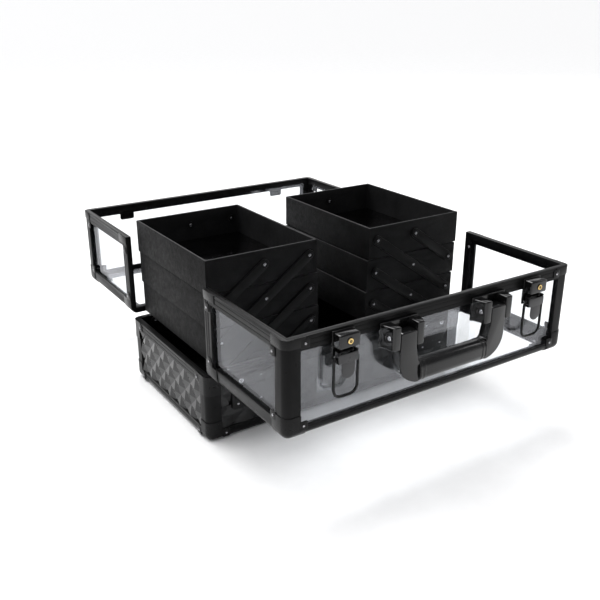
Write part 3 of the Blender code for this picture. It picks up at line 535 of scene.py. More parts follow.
def tab(face, first, second):
    """A small plate with a bright rivet in a dark ring."""
    outline = rounded_outline(-TAB_HALF, TAB_HALF, -TAB_HALF, TAB_HALF, 1.6 * MM, 4)
    ring = dome(2.6 * MM, 0.5 * MM)
    head = dome(RIVET, 0.9 * MM)
    return [
        (on_face(face, first, second, plate(outline, "Z", -0.3 * MM, TAB_THICK, 0.3 * MM)), CAPS),
        (on_face(face, first, second, ring, TAB_THICK - 0.1 * MM), CAPS),
        (on_face(face, first, second, head, TAB_THICK + 0.1 * MM), STEEL),
    ]


GROOVE = 0.7 * MM
GROOVE_DEPTH = 0.45 * MM
GROOVE_INSETS = (4.2 * MM, 9.4 * MM)


def groove_cutters(*heights):
    """Shallow cutters on all four sides, for a groove at each height."""
    cutters = []
    for height in heights:
        low, high = span(1, -GROOVE / 2, GROOVE / 2, height)
        for side in (-1, 1):
            near, far = span(side, HALF_WIDTH - GROOVE_DEPTH, HALF_WIDTH + GROOVE_DEPTH)
            cutters.append(block((-OPEN_X, near, low), (OPEN_X, far, high), 0))
            near, far = span(side, HALF_LENGTH - GROOVE_DEPTH, HALF_LENGTH + GROOVE_DEPTH)
            cutters.append(block((near, -OPEN_Y, low), (far, OPEN_Y, high), 0))
    return cutters


def base_windows():
    top = BASE_TOP - RIM_RAIL
    return [
        block((-OPEN_X, -FAR, LOW_RAIL), (OPEN_X, FAR, top), 0),
        block((-FAR, -OPEN_Y, LOW_RAIL), (FAR, OPEN_Y, top), 0),
        block((-OPEN_X, -OPEN_Y, -FAR), (OPEN_X, OPEN_Y, SKIN * 2), 0),
    ]


ALONG = 0.9


def base_round(direction, middle):
    """Rounds the base's upright and lowest edges."""
    return abs(direction.z) > ALONG or middle.z < GAP


def base_room(wall, top):
    """What is inside the base's walls, for a thickness of them."""
    x = HALF_LENGTH - wall
    y = HALF_WIDTH - wall
    return block((-x, -y, SKIN), (x, y, top), 0)


def make_base_frame():
    grooves = groove_cutters(BASE_TOP - 3.6 * MM, BASE_TOP - 8.4 * MM, LOW_RAIL - 3.4 * MM)
    inner = [base_room(SKIN, BASE_TOP - RIM_CAP), base_room(RIM, BASE_TOP * 2)]
    shape = rounded_box(BASE_LOW, BASE_HIGH, ROUND, base_round)
    shape = tidied(carved(shape, [*inner, *base_windows(), gathered(grooves)]), 0.3 * MM)
    piece("base_frame_rails", [(shape, SATIN)], "base", stands_for=("base_frame",))


CAP_RISE = 0.8 * MM
CAP_SKIN = 0.9 * MM
CAP_REACH = 24 * MM
SEAM_CAP_REACH = 10 * MM


def corner_blocks(low, high, back_reach):
    """What is kept of a shell for its corner caps."""
    blocks = []
    for x in (low.x, high.x):
        for y, reach_y in ((low.y, CAP_REACH), (high.y, back_reach)):
            for z in (low.z, high.z):
                corner = Vector((x, y, z))
                offset = Vector((CAP_REACH, reach_y, CAP_REACH))
                blocks.append(block(corner - offset, corner + offset, 0))
    return gathered(blocks)


def caps(low, high, chosen, inner_low, inner_high, windows, back_reach=CAP_REACH):
    """Thin caps round a frame's corners."""
    shell = rounded_box(low, high, ROUND + CAP_RISE, chosen)
    inside = rounded_box(inner_low, inner_high, ROUND - CAP_SKIN, chosen)
    shell = carved(shell, [corner_blocks(low, high, back_reach)], "INTERSECT")
    return tidied(carved(shell, [inside, *windows]), 0.25 * MM)


def make_base_caps():
    rise = Vector((CAP_RISE, CAP_RISE, 0))
    inner_low = BASE_LOW + Vector((CAP_SKIN, CAP_SKIN, CAP_SKIN))
    inner_high = BASE_HIGH + Vector((-CAP_SKIN, -CAP_SKIN, 2 * CAP_SKIN))
    shape = caps(BASE_LOW - rise, BASE_HIGH + rise, base_round, inner_low, inner_high, base_windows())
    parts = [(shape, CAPS)]
    for side in (-1, 1):
        for height in (BASE_TOP - RIM_RAIL / 2 - 0.5 * MM, LOW_RAIL / 2 + 0.5 * MM):
            for face, reach in (("front", OPEN_X), ("back", OPEN_X), ("left", OPEN_Y), ("right", OPEN_Y)):
                parts += tab(face, side * (reach - TAB_HALF), height)
    piece("base_corner_caps", parts, "base")


def lid_windows():
    edge_y = HALF_WIDTH - TOP_EDGE_RAIL
    low = LID_LOW.z + LOW_RAIL
    high = LID_TOP - POST
    return [
        block((-OPEN_X, -FAR, low), (OPEN_X, SKIN - HALF_WIDTH + GAP, high), 0),
        block((-FAR, -OPEN_Y, low), (FAR, -SEAM_RAIL, high), 0),
        block((-OPEN_X, -edge_y, LID_TOP - 2 * SKIN), (OPEN_X, -SEAM_RAIL, FAR), 0),
    ]


def lid_round(direction, middle):
    """Rounds a half-lid's upright and upper edges, but not those at the seam between the half-lids."""
    outer = middle.y < -2 * GAP
    if abs(direction.z) > ALONG:
        return outer
    return middle.z > LID_LOW.z + GAP and (outer or abs(direction.x) <= ALONG)


def lid_grooves():
    grooves = groove_cutters(*(LID_LOW.z + inset for inset in GROOVE_INSETS))
    for inset in GROOVE_INSETS:
        low, high = span(1, -GROOVE / 2, GROOVE / 2, -inset)
        grooves.append(block((-OPEN_X, low, LID_TOP - GROOVE_DEPTH), (OPEN_X, high, LID_TOP + MM), 0))
        for side in (-1, 1):
            near, far = span(side, HALF_LENGTH - GROOVE_DEPTH, HALF_LENGTH + MM)
            grooves.append(block((near, low, LID_LOW.z + LOW_RAIL), (far, high, LID_TOP - POST), 0))
    return grooves


def lid_frame_shape():
    inner = [
        block((LIP - HALF_LENGTH, LIP - HALF_WIDTH, 0), (HALF_LENGTH - LIP, HALF_WIDTH, LID_TOP - LIP), 0),
        block(
            (SKIN - HALF_LENGTH, SKIN - HALF_WIDTH, LID_LOW.z + LIP_HEIGHT),
            (HALF_LENGTH - SKIN, -LIP_HEIGHT, LID_TOP - SKIN),
            0,
        ),
    ]
    shape = rounded_box(LID_LOW, LID_HIGH, ROUND, lid_round)
    return tidied(carved(shape, [*inner, *lid_windows(), gathered(lid_grooves())]), 0.3 * MM)


def lid_caps_shape():
    low = LID_LOW - Vector((CAP_RISE, CAP_RISE, 0))
    high = LID_HIGH + Vector((CAP_RISE, 0, CAP_RISE))
    past = 3 * MM
    inner_low = LID_LOW + Vector((CAP_SKIN, CAP_SKIN, -past))
    inner_high = LID_HIGH + Vector((-CAP_SKIN, past, -CAP_SKIN))
    return caps(low, high, lid_round, inner_low, inner_high, lid_windows(), SEAM_CAP_REACH)


def lid_tabs():
    """The tabs in a half-lid's corners. Those with a depth show their rivets inside too."""
    sheet_depth = LID_HIGH.x - shut_box("front_lid_right_end_panel", FRONT)[0].x
    parts = []
    inner = 2.8 * MM
    low = LID_LOW.z + LOW_RAIL / 2
    high = LID_TOP - POST - inner
    for side in (-1, 1):
        rail_x = side * (OPEN_X - TAB_HALF)
        sheet_x = side * (OPEN_X - inner)
        end = "left" if side < 0 else "right"
        for face, first, second, depth in (
            ("front", rail_x, low, LIP),
            ("front", sheet_x, high, sheet_depth),
            ("top", sheet_x, inner - HALF_WIDTH + TOP_EDGE_RAIL, None),
            ("top", rail_x, -SEAM_RAIL / 2, None),
            (end, TAB_HALF - OPEN_Y, low, LIP),
            (end, -SEAM_RAIL - TAB_HALF, low, LIP),
            (end, inner - OPEN_Y, high, sheet_depth),
            (end, -SEAM_RAIL - inner, high, sheet_depth),
        ):
            parts += tab(face, first, second)
            if depth is not None:
                head = dome(1.7 * MM, 0.8 * MM, way=-1)
                parts.append((on_face(face, first, second, head, -depth), STEEL))
    return parts


def make_lid(prefix, body, place):
    rails = lid_frame_shape()
    parts = [(lid_caps_shape(), CAPS), *lid_tabs()]
    if prefix == "back":
        moved(rails, FLIP_Y)
        for shape, _ in parts:
            moved(shape, FLIP_Y)
    replaced = (f"{prefix}_lid_frame",)
    piece(f"{prefix}_lid_rails", [(rails, SATIN)], body, place, replaced)
    piece(f"{prefix}_lid_corner_caps", parts, body, place)


# Trays and arms.

SIDES = {"left": -1, "right": 1}
FOLD = joint_at("right_trays_fold")
SHORT = joint_at("right_lower_short_arms_pivot")
BOTTOM = joint_at("right_bottom_tray_pivot")
SPACING = FOLD.x - SHORT.x
PITCH = BOTTOM.z - FOLD.z
LEVEL_STEP = BOTTOM.x - SHORT.x
TRAY_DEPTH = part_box("right_bottom_tray")[1].y
TRAY_WALL = 3 * MM
ARM_GAP = 0.5 * MM
ARM_THICK = 2 * MM
ARM_RADIUS = 6 * MM
ARM_INNER = TRAY_DEPTH + ARM_GAP
ARM_OUTER = ARM_INNER + ARM_THICK
PIN = 2 * MM
PIN_HOLE = 2.5 * MM

# Each arm's pivots as (level, place): levels count up from the base, and places outwards.
ARMS = {
    "lower_long_arm": ((0, 2), (1, 1), (2, 0)),
    "lower_short_arm": ((0, 1), (1, 0)),
    "upper_long_arm": ((1, 2), (2, 1), (3, 0)),
    "upper_short_arm": ((2, 2), (3, 1)),
}
# Each tray's level, and the places of its pivots.
TRAYS = {"bottom_tray": (1, (0, 1, 2)), "middle_tray": (2, (0, 1, 2)), "top_tray": (3, (0, 1))}


def pivot_point(level, place):
    return SHORT.x + (place - 1) * SPACING + level * LEVEL_STEP, FOLD.z + level * PITCH


EDGE_STRIP = 0.3 * MM
EDGE_THIN = Vector((0.7 * MM, 0.7 * MM, 0))
MAT_MARGIN = Vector((0.4 * MM, 0.4 * MM, 0))


def at_height(corner, z):
    return Vector((corner.x, corner.y, z))


def make_tray(side_name, side, name, level, places):
    """A tray of grained board, with a paler strip along the tops of its walls and a glossy sheet on its
    floor.
    """
    body = f"{side_name}_{name}"
    low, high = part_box(body)
    wall = Vector((TRAY_WALL, TRAY_WALL, 0))
    floor = low.z + TRAY_WALL
    room_low = at_height(low + wall, floor)
    room_high = at_height(high - wall, high.z + TRAY_WALL)
    board_top = high.z - EDGE_STRIP
    holes = []
    for place in places:
        x, z = pivot_point(level, place)
        holes.append(rod("Y", (side * x, 0, z), PIN_HOLE, 3 * TRAY_DEPTH, 16, 0))
    room = block(room_low, room_high, 0)
    shell = carved(block(low, at_height(high, board_top), 0), [room, gathered(holes)])
    ring = block(at_height(low + EDGE_THIN, board_top - EDGE_STRIP), high - EDGE_THIN, 0)
    edge = carved(ring, [block(room_low - EDGE_THIN, room_high + EDGE_THIN, 0)])
    mat_low = at_height(room_low + MAT_MARGIN, floor - 0.1 * MM)
    mat_high = at_height(room_high - MAT_MARGIN, floor + 0.6 * MM)
    parts = [
        (tidied(shell, 0.5 * MM, 3), BOARD),
        (tidied(edge, 0.15 * MM, 1), RIMS),
        (block(mat_low, mat_high, 0.2 * MM), MAT_SHEET),
    ]
    piece(f"{body}_board", parts, body, stands_for=(body,))


# The turned parts of the arms' rivets.
ARM_RING = in_mm((4.3, -0.2), (4.3, 0.2), (4.0, 0.5), (2.5, 0.5), (2.2, 0.2))
CENTRE_RING = in_mm((3.2, -0.2), (3.2, 0.2), (2.9, 0.4))
BASE_RING = in_mm((3.6, -0.2), (3.6, 0.2), (3.3, 0.5))
ARM_HEAD = in_mm((1.9, 0), (1.8, 0.45), (1.2, 0.8), (0.5, 0.95))
INNER_WASHER = in_mm((4.6, 0.1), (4.6, 0.8), (4.2, 1.1))
INNER_HEAD = in_mm((2.2, 0.9), (2.0, 1.5), (1.2, 1.9), (0.4, 2.0))


def pin_parts(x, z, level, centre):
    """The rivet at one pivot of a front arm: shank, ring washers and bright domed ends."""

    def turned(profile, distance, way=-1):
        """A turned shape that stands outwards (-1) or inwards (1) from a distance off centre."""
        return lathe(profile, (x, -distance, z), "Y", way)

    if level:
        inner_face = TRAY_DEPTH - TRAY_WALL
        shank = [(PIN, inner_face - 0.5 * MM), (PIN, ARM_INNER + ARM_THICK / 2)]
        return [
            (turned(shank, 0), ARM_PAINT),
            (turned(CENTRE_RING if centre else ARM_RING, ARM_OUTER), ARM_PAINT),
            (turned(ARM_HEAD, ARM_OUTER + (0.1 if centre else 0.0) * MM), PIN_STEEL),
            (turned(INNER_WASHER, inner_face, 1), ARM_PAINT),
            (turned(INNER_HEAD, inner_face, 1), PIN_STEEL),
        ]
    shank = [(PIN, ARM_INNER - 0.3 * MM), (PIN, ARM_OUTER + 2.6 * MM)]
    return [
        (turned(shank, 0), ARM_PAINT),
        (turned(BASE_RING, ARM_INNER, 1), ARM_PAINT),
        (turned(ARM_HEAD, ARM_INNER, 1), NICKEL),
    ]


def make_arms(side_name, side, name, pivots):
    """The front and the back arm of one pair, which turn together."""
    points = [pivot_point(level, place) for level, place in pivots]
    outline = bar_outline(points[0], points[-1], ARM_RADIUS, 12)
    parts = []
    for way in (1, -1):
        shapes = [(plate(outline, "Y", -ARM_OUTER, -ARM_INNER, 0.45 * MM, 2), ARM_PAINT)]
        for index, ((level, _), (x, z)) in enumerate(zip(pivots, points)):
            shapes += pin_parts(x, z, level, 0 < index < len(points) - 1)
        for shape, _ in shapes:
            moved(shape, Matrix.Diagonal((side, way, 1, 1)))
        parts += shapes
    nodes = tuple(f"{side_name}_{face}_{name}" for face in ("front", "back"))
    body = f"{side_name}_{name}s"
    piece(f"{body}_steel", parts, body, stands_for=nodes)


# Rivets, locks and hinges.


def standing(shape, centre, axis):
    """A shape that stands on Z 0, turned to stand on a point of a front (Y) or upper (Z) face."""
    turn = Matrix.Rotation(QUARTER, 4, "X") if axis == "Y" else STILL
    return moved(shape, Matrix.Translation(centre) @ turn)


def bright_rivet(centre, axis, size=1.5 * MM):
    """A bright domed rivet in a thin dark ring, on a front (Y) or upper (Z) face."""
    ring = lathe([(size * 1.4, -0.1 * MM), (size * 1.4, 0.15 * MM), (size * 1.2, 0.3 * MM)])
    head = dome(size, 0.95 * MM, (0, 0, 0.1 * MM))
    return [(standing(ring, centre, axis), ENAMEL), (standing(head, centre, axis), STEEL)]


# The turned parts of a key lock.
LOCK_BEZEL = in_mm((3.8, -0.3), (3.8, 0.25), (3.5, 0.5))
LOCK_RING = in_mm((3.0, -0.3), (3.0, 0.8), (2.7, 1.2), (2.0, 1.3), (1.6, 1.1), (1.5, 0.6))
LOCK_BARREL = in_mm((1.45, 0.5), (1.45, 0.8), (1.25, 0.95))


def key_lock(centre, axis, bright):
    """A round key lock: a rounded ring of bright metal in a dark bezel, round a barrel whose dark colour is
    painted shade for its keyhole.
    """
    shapes = [
        (lathe(LOCK_BEZEL, sides=32), ENAMEL),
        (lathe(LOCK_RING, sides=32), bright),
        # The barrel is dark all over: painted shade for the keyhole.
        (lathe(LOCK_BARREL, sides=24), KEYHOLE_SHADE),
        (block((-0.2 * MM, -0.9 * MM, 0.9 * MM), (0.2 * MM, 0.9 * MM, 1.0 * MM), 0), bright),
    ]
    return [(standing(shape, centre, axis), material) for shape, material in shapes]


KNUCKLE = 2.8 * MM
LEAF = 2 * MM
HARDWARE_FACE = HALF_WIDTH + 2 * GAP
LEAF_FACE = HARDWARE_FACE + LEAF
BARREL_WEB = 4.2 * MM
MIDDLE_SHARE = 0.36


def barrel(start, end, way):
    """A hinge barrel on the front, with its web to the leaf above (1) or below (-1) it."""
    low, high = span(way, 0, BARREL_WEB, SEAM)
    web = block((start + GAP, GAP - HINGE_Y, low), (end - GAP, -HARDWARE_FACE - GAP, high), 0.3 * MM)
    return [
        (rod("X", ((start + end) / 2, -HINGE_Y, SEAM), KNUCKLE, end - start, 24, 0.4 * MM), ENAMEL),
        (web, ENAMEL),
    ]


def leaf(left, right, bottom, top):
    """A hinge leaf on the front, with rounded corners and eased edges."""
    outline = rounded_outline(left, right, bottom, top, 2.4 * MM, 6)
    return plate(outline, "Y", -LEAF_FACE, -HARDWARE_FACE, 0.5 * MM, 3), ENAMEL


PANEL_INSET = 2.4 * MM
PANEL_RISE = 0.5 * MM


def raised_panel(left, right, bottom, top):
    """The pressed middle of a leaf, inside its flat border."""
    inset = PANEL_INSET
    outline = rounded_outline(left + inset, right - inset, bottom + inset, top - inset, 2 * MM, 6)
    return plate(outline, "Y", -LEAF_FACE - PANEL_RISE, 0.3 * MM - LEAF_FACE, 0.45 * MM, 3), ENAMEL


def lid_leaf_parts(low, high):
    """The upper leaf with its two outer barrels, a pressed middle and two rivets."""
    bottom = SEAM + KNUCKLE + 2 * GAP
    centre, half = middle_and_half(low, high)
    middle = MIDDLE_SHARE * half
    parts = [
        leaf(low.x, high.x, bottom, high.z),
        *barrel(low.x, centre - middle - GAP, 1),
        *barrel(centre + middle + GAP, high.x, 1),
        raised_panel(low.x, high.x, bottom, high.z),
    ]
    height = (bottom + high.z) / 2 + MM
    for way in (-1, 1):
        parts += bright_rivet((centre + way * 0.62 * half, -LEAF_FACE - PANEL_RISE, height), "Y")
    return parts


def base_leaf_parts(low, high):
    """The lower leaf with its middle barrel and the hinge's pin."""
    top = SEAM - KNUCKLE - 2 * GAP
    centre, half = middle_and_half(low, high)
    middle = MIDDLE_SHARE * half
    return [
        leaf(low.x, high.x, low.z, top),
        *barrel(centre - middle, centre + middle, -1),
        (rod("X", (centre, -HINGE_Y, SEAM), 1.2 * MM, 2 * (half - GAP), 16), ENAMEL),
    ]


OVAL_STEPS = 28
OVAL_POWER = 0.75


def half_oval(centre, half_wide, tall):
    """An arch that is a little squarer than half an ellipse."""
    points = []
    for step in range(OVAL_STEPS + 1):
        turn = math.pi * step / OVAL_STEPS
        along = math.copysign(abs(math.cos(turn)) ** OVAL_POWER, math.cos(turn))
        points.append((centre[0] + half_wide * along, centre[1] + tall * math.sin(turn) ** OVAL_POWER))
    return points


HOUSING_LOW = 66 * MM
HOUSING_RISE = 3.5 * MM
LOWER_RIVETS = 0.68
LEVER_AT = joint_at("right_clasp_lever_pivot")
LEVER_INSET = 3.2 * MM


def make_clasp(side_name, side):
    """A front clasp, which is the front lid's hinge too."""
    name = f"{side_name}_clasp_lid_leaf"
    parts = lid_leaf_parts(*shut_box(name, FRONT))
    piece(f"{name}_plate", parts, "front_lid", FRONT, (name,))

    name = f"{side_name}_clasp_base_plate"
    low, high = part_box(name)
    centre, half = middle_and_half(low, high)
    parts = base_leaf_parts(low, high)
    top = SEAM - KNUCKLE - 4 * GAP
    front = LEAF_FACE + HOUSING_RISE
    outline = rounded_outline(low.x + GAP, high.x - GAP, HOUSING_LOW, top, 1.6 * MM, 5)
    parts.append((plate(outline, "Y", -front, GAP - LEAF_FACE, 0.9 * MM, 4), ENAMEL))
    arch_at = (centre + side * 3 * MM, HOUSING_LOW + 1.2 * MM)
    arch = half_oval(arch_at, 15 * MM, 9.6 * MM) + half_oval(arch_at, 11 * MM, 6.4 * MM)[::-1]
    parts.append((plate(arch, "Y", -front - 0.5 * MM, 0.3 * MM - front, 0.45 * MM, 3), ENAMEL))
    lock_height = (HOUSING_LOW + top) / 2
    parts += key_lock((centre + side * 0.57 * half, -front, lock_height), "Y", NICKEL)
    parts += bright_rivet((centre - side * 0.61 * half, -front, lock_height + MM), "Y")
    for way in (-1, 1):
        parts += bright_rivet((centre + way * LOWER_RIVETS * half, -LEAF_FACE, 41.5 * MM), "Y")
        near, far = span(way, half - 2.6 * MM, half - 0.3 * MM, centre)
        ear_low = (near, -LEAF_FACE - 2.6 * MM, LEVER_AT.z - 2.4 * MM)
        parts.append((block(ear_low, (far, GAP - LEAF_FACE, HOUSING_LOW + MM), 0.3 * MM), ENAMEL))
    piece(f"{name}_pressing", parts, "base", stands_for=(name,))

    name = f"{side_name}_clasp_lever"
    low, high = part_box(name)
    depth = LEVER_AT.y
    half_lever = half - LEVER_INSET
    outline = rounded_outline(centre - half_lever, centre + half_lever, low.z, LEVER_AT.z, 2 * MM, 6)
    lever = [
        (plate(outline, "Y", depth - 0.9 * MM, depth + 0.9 * MM, 0.4 * MM, 3), ENAMEL),
        (rod("X", (centre, depth, LEVER_AT.z), MM, 2 * half_lever, 16), ENAMEL),
        (rod("X", (centre, depth, LEVER_AT.z), 0.7 * MM, high.x - low.x, 12, 0.1 * MM), ENAMEL),
    ]
    piece(f"{name}_plate", lever, name, stands_for=(name,))


def make_back_hinge(side_name):
    for leaf_name, body, place, make in (
        ("lid", "back_lid", BACK, lid_leaf_parts),
        ("base", "base", STILL, base_leaf_parts),
    ):
        name = f"{side_name}_back_hinge_{leaf_name}_leaf"
        low, high = shut_box(name, place)
        parts = make(low, high)
        if body == "base":
            centre, half = middle_and_half(low, high)
            for way in (-1, 1):
                spot = (centre + way * LOWER_RIVETS * half, -LEAF_FACE, low.z + 7 * MM)
                parts += bright_rivet(spot, "Y")
        for shape, _ in parts:
            moved(shape, FLIP_Y)
        piece(f"{name}_plate", parts, body, place, (name,))


# The carrying handle, modelled upright.

LEG_X, _ = middle_and_half(*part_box("right_handle_bracket"))
HANDLE_RISE = 53 * MM
BAIL_CORNER = 26 * MM
LEG_HALF = 10 * MM
LEG_DEEP = 7 * MM
GRIP_HALF = 46 * MM
GRIP_TALL = 23 * MM
GRIP_MIDDLE = HANDLE_AXIS.z + HANDLE_RISE - GRIP_TALL / 2 + 2 * GAP
CORE = 5 * MM
CORE_REACH = GRIP_HALF + 4 * MM


def bail_outline():
    """The D seen from the front, as X and height over the pivots."""
    outer = LEG_X + LEG_HALF
    inner = LEG_X - LEG_HALF
    high = inner - 3 * MM
    under = HANDLE_RISE - GRIP_TALL + 1.5 * MM
    right = [
        (outer - 1.5 * MM, -4.5 * MM), (outer, -3 * MM),
        *arc((outer - BAIL_CORNER, HANDLE_RISE - BAIL_CORNER), BAIL_CORNER, 0, 90, 16),
    ]
    inside = [*arc((high - 4 * MM, under - 4 * MM), 4 * MM, 90, 0, 5), (inner, 14 * MM), (inner, -4.5 * MM)]
    half = inside + right
    left = [(-x, z) for x, z in reversed(half)]
    return [(x, HANDLE_AXIS.z + z) for x, z in right + left + inside]


def grip_section(grown=0.0):
    half_deep = 9.5 * MM + grown
    half_tall = GRIP_TALL / 2 + grown
    y = HANDLE_AXIS.y
    low = GRIP_MIDDLE - half_tall
    high = GRIP_MIDDLE + half_tall
    return rounded_outline(y - half_deep, y + half_deep, low, high, 8.5 * MM + grown, 12)


def make_handle():
    """The bail with a core through its grip, and the grip with two ribs at each end."""
    y = HANDLE_AXIS.y
    z = HANDLE_AXIS.z
    bail = plate(bail_outline(), "Y", y - LEG_DEEP, y + LEG_DEEP, 3 * MM, 3)
    room = GRIP_HALF + GAP
    bail = carved(bail, [block((-room, -1, z + 20 * MM), (room, 1, z + 1), 0)])
    core_low = (-CORE_REACH, y - CORE, GRIP_MIDDLE - CORE)
    core_high = (CORE_REACH, y + CORE, GRIP_MIDDLE + CORE)
    parts = [(bail, GLOSS), (block(core_low, core_high), GLOSS)]
    for side in (-1, 1):
        parts.append((rod("X", (side * LEG_X, y, z), 2.5 * MM, 41 * MM, 24), NICKEL))
    piece("handle_bail_moulding", parts, "handle", HANDLE, ("handle_bail",))

    parts = [(plate(grip_section(), "X", -GRIP_HALF, GRIP_HALF, 0.8 * MM, 3), GRIP)]
    for side in (-1, 1):
        for inset in (2.5 * MM, 7 * MM):
            near, far = span(side, GRIP_HALF - inset, GRIP_HALF - inset + 2.2 * MM)
            parts.append((plate(grip_section(0.4 * MM), "X", near, far, 0.5 * MM, 3), GRIP))
    piece("handle_grip_sleeve", parts, "handle", HANDLE, ("handle_grip",))


def make_bracket(side_name, side):
    """A base plate and two tapered ears that hold the leg's pin."""
    centre = side * LEG_X
    y = HANDLE_AXIS.y
    half = 24 * MM
    bottom = LID_TOP + GAP
    plate_top = bottom + 3 * MM
    top = LID_TOP + 19 * MM
    slot = LEG_HALF + 2 * GAP
    foot_low = (centre - half, y - 13 * MM, bottom)
    foot_high = (centre + half, y + 13 * MM, plate_top)
    parts = [(block(foot_low, foot_high, 0.8 * MM, 3), GLOSS)]
    for way in (-1, 1):
        outline = [
            (slot, plate_top - MM),
            (half, plate_top - MM),
            *arc((16.8 * MM, top - 3 * MM), 3 * MM, 12, 90, 6),
            *arc((slot + 1.5 * MM, top - 1.5 * MM), 1.5 * MM, 90, 180, 4),
        ]
        outline = [(centre + way * x, height) for x, height in outline]
        ear = plate(outline, "Y", y - 12.1 * MM, y + 12.1 * MM, 0)
        hole = rod("X", (centre, y, HANDLE_AXIS.z), 3.1 * MM, 0.1, 24, 0)
        parts.append((tidied(carved(ear, [hole]), 1.2 * MM, 3), GLOSS))
    for x in (-20.8, 20.8):
        for depth in (-9.5, 9.5):
            spot = (centre + x * MM, y + depth * MM, plate_top)
            parts.append((dome(1.3 * MM, 0.7 * MM, spot), STEEL))
    name = f"{side_name}_handle_bracket"
    piece(f"{name}_moulding", parts, "front_lid", FRONT, (name,))


# The top latches.

LATCH = FRONT.inverted() @ joint_at("right_latch_lever_pivot")
LOOP = FRONT.inverted() @ joint_at("right_latch_loop_pivot")
WIRE = 1.5 * MM
TONGUE_HALF = 7.5 * MM


def make_latch(side_name, side):
    """A latch: its body with a lock, the over-centre lever, the wire loop, and the catch for the loop."""
    x = side * LATCH.x
    z = LATCH.z
    bottom = LID_TOP + GAP
    block_top = bottom + 12.5 * MM
    foot_low = (x - 13 * MM, -31 * MM, bottom)
    foot_high = (x + 13 * MM, -2 * MM, bottom + 2 * MM)
    block_low = (x - 12 * MM, -17.5 * MM, bottom + MM)
    block_high = (x + 12 * MM, -3 * MM, block_top)
    body = [
        (block(foot_low, foot_high, 0.6 * MM, 3), ENAMEL),
        (block(block_low, block_high, 1.8 * MM, 4), GLOSS),
    ]
    body += key_lock((x, -10.25 * MM, block_top), "Z", BRASS)
    for way in (-1, 1):
        near, far = span(way, 4.5 * MM, 8 * MM, x)
        cheek = [
            (LATCH.y + 4 * MM, bottom + MM),
            *arc((LATCH.y, z - 0.3 * MM), 2.8 * MM, 0, 180, 10),
            (LATCH.y - 4 * MM, bottom + MM),
        ]
        hole = rod("X", (x, LATCH.y, z), 1.9 * MM, 0.1, 20, 0)
        body.append((eased(carved(plate(cheek, "X", near, far, 0), [hole]), 0.3 * MM, 2, 50), ENAMEL))
        body += bright_rivet((x + way * 10.2 * MM, -28.2 * MM, bottom + 2 * MM), "Z", 1.2 * MM)
    name = f"{side_name}_latch_body"
    piece(f"{name}_block", body, "front_lid", FRONT, (name,))

    low = z + 3.1 * MM
    high = low + 1.5 * MM
    front = LATCH.y - 10 * MM
    tip = LATCH.y - 26.5 * MM
    cap = rounded_outline(x - 11.5 * MM, x + 11.5 * MM, front, LATCH.y - 0.5 * MM, 1.5 * MM, 5)
    tongue = [
        (x + TONGUE_HALF, front + 1.5 * MM),
        (x - TONGUE_HALF, front + 1.5 * MM),
        *arc((x, tip + TONGUE_HALF), TONGUE_HALF, 180, 360, 20),
    ]
    lever = [
        (plate(cap, "Z", low, high, 0.5 * MM, 3), TONGUE),
        (plate(tongue, "Z", low + 0.1 * MM, high - 0.1 * MM, 0.4 * MM, 3), TONGUE),
        (rod("X", (x, LATCH.y, z), 1.5 * MM, 22.4 * MM, 20), ENAMEL),
    ]
    for way in (-1, 1):
        near, far = span(way, 9 * MM, 11.5 * MM, x)
        skirt = block((near, front, z - 2.5 * MM), (far, LATCH.y + 2 * MM, high - 0.5 * MM), 0)
        hole = rod("X", (x, LOOP.y, LOOP.z), WIRE + 0.4 * MM, 0.1, 20, 0)
        lever.append((eased(carved(skirt, [hole]), 0.4 * MM, 2, 50), CAPS))
    name = f"{side_name}_latch_lever"
    piece(f"{name}_plate", lever, name, FRONT, (name,))

    half = [
        (9.7 * MM, 0.0),
        *arc((11 * MM, -3 * MM), 3 * MM, 90, 0, 8),
        *arc((5 * MM, -32 * MM), 9 * MM, 0, -90, 14),
    ]
    route = half + [(-along, depth) for along, depth in reversed(half)]
    wire = bent_wire([Vector((x + along, LOOP.y + depth, LOOP.z)) for along, depth in route], WIRE, 16)
    name = f"{side_name}_latch_loop"
    piece(f"{name}_wire", [(wire, ENAMEL)], name, FRONT, (name,))
    make_catch(side_name, x, z, bottom)


def make_catch(side_name, x, z, bottom):
    """The hook on the back half-lid that the loop goes over."""
    foot_top = bottom + 1.8 * MM
    lip_low = z + WIRE + 2 * GAP
    lip_high = lip_low + 1.8 * MM
    lip = [(x + 8.5 * MM, 3 * MM), *arc((x, 13 * MM), 8.5 * MM, 0, 180, 20), (x - 8.5 * MM, 3 * MM)]
    raised = arc((x, 13 * MM), 5.5 * MM, 0, 360, 28)[:-1]
    foot = rounded_outline(x - 10.5 * MM, x + 10.5 * MM, 1.5 * MM, 24 * MM, 3 * MM, 6)
    neck_low = (x - 6 * MM, 3 * MM, foot_top - MM)
    neck_high = (x + 6 * MM, 9.5 * MM, lip_high - 0.5 * MM)
    parts = [
        (plate(foot, "Z", bottom, foot_top, 0.5 * MM, 3), ENAMEL),
        (block(neck_low, neck_high, 0.5 * MM), ENAMEL),
        (plate(lip, "Z", lip_low, lip_high, 0.6 * MM, 3), CAPS),
        (plate(raised, "Z", lip_high - 0.2 * MM, lip_high + 0.5 * MM, 0.4 * MM, 2), CAPS),
    ]
    for way in (-1, 1):
        parts += bright_rivet((x + way * 7.5 * MM, 21.5 * MM, foot_top), "Z")
    name = f"{side_name}_latch_catch"
    piece(f"{name}_hook", parts, "back_lid", BACK, (name,))


# The base's lining and panels, and the clear sheets, which keep their CAD shapes.


def make_rim_rivets():
    """The bright rivet heads inside the long walls of the base."""
    parts = []
    for way in (-1, 1):
        for x in (-72, -24, 24, 72):
            spot = (x * MM, way * (HALF_WIDTH - RIM + 0.1 * MM), BASE_TOP - 10 * MM)
            parts.append((dome(1.6 * MM, MM, spot, "Y", -way), STEEL))
    piece("base_rim_rivets", parts, "base")


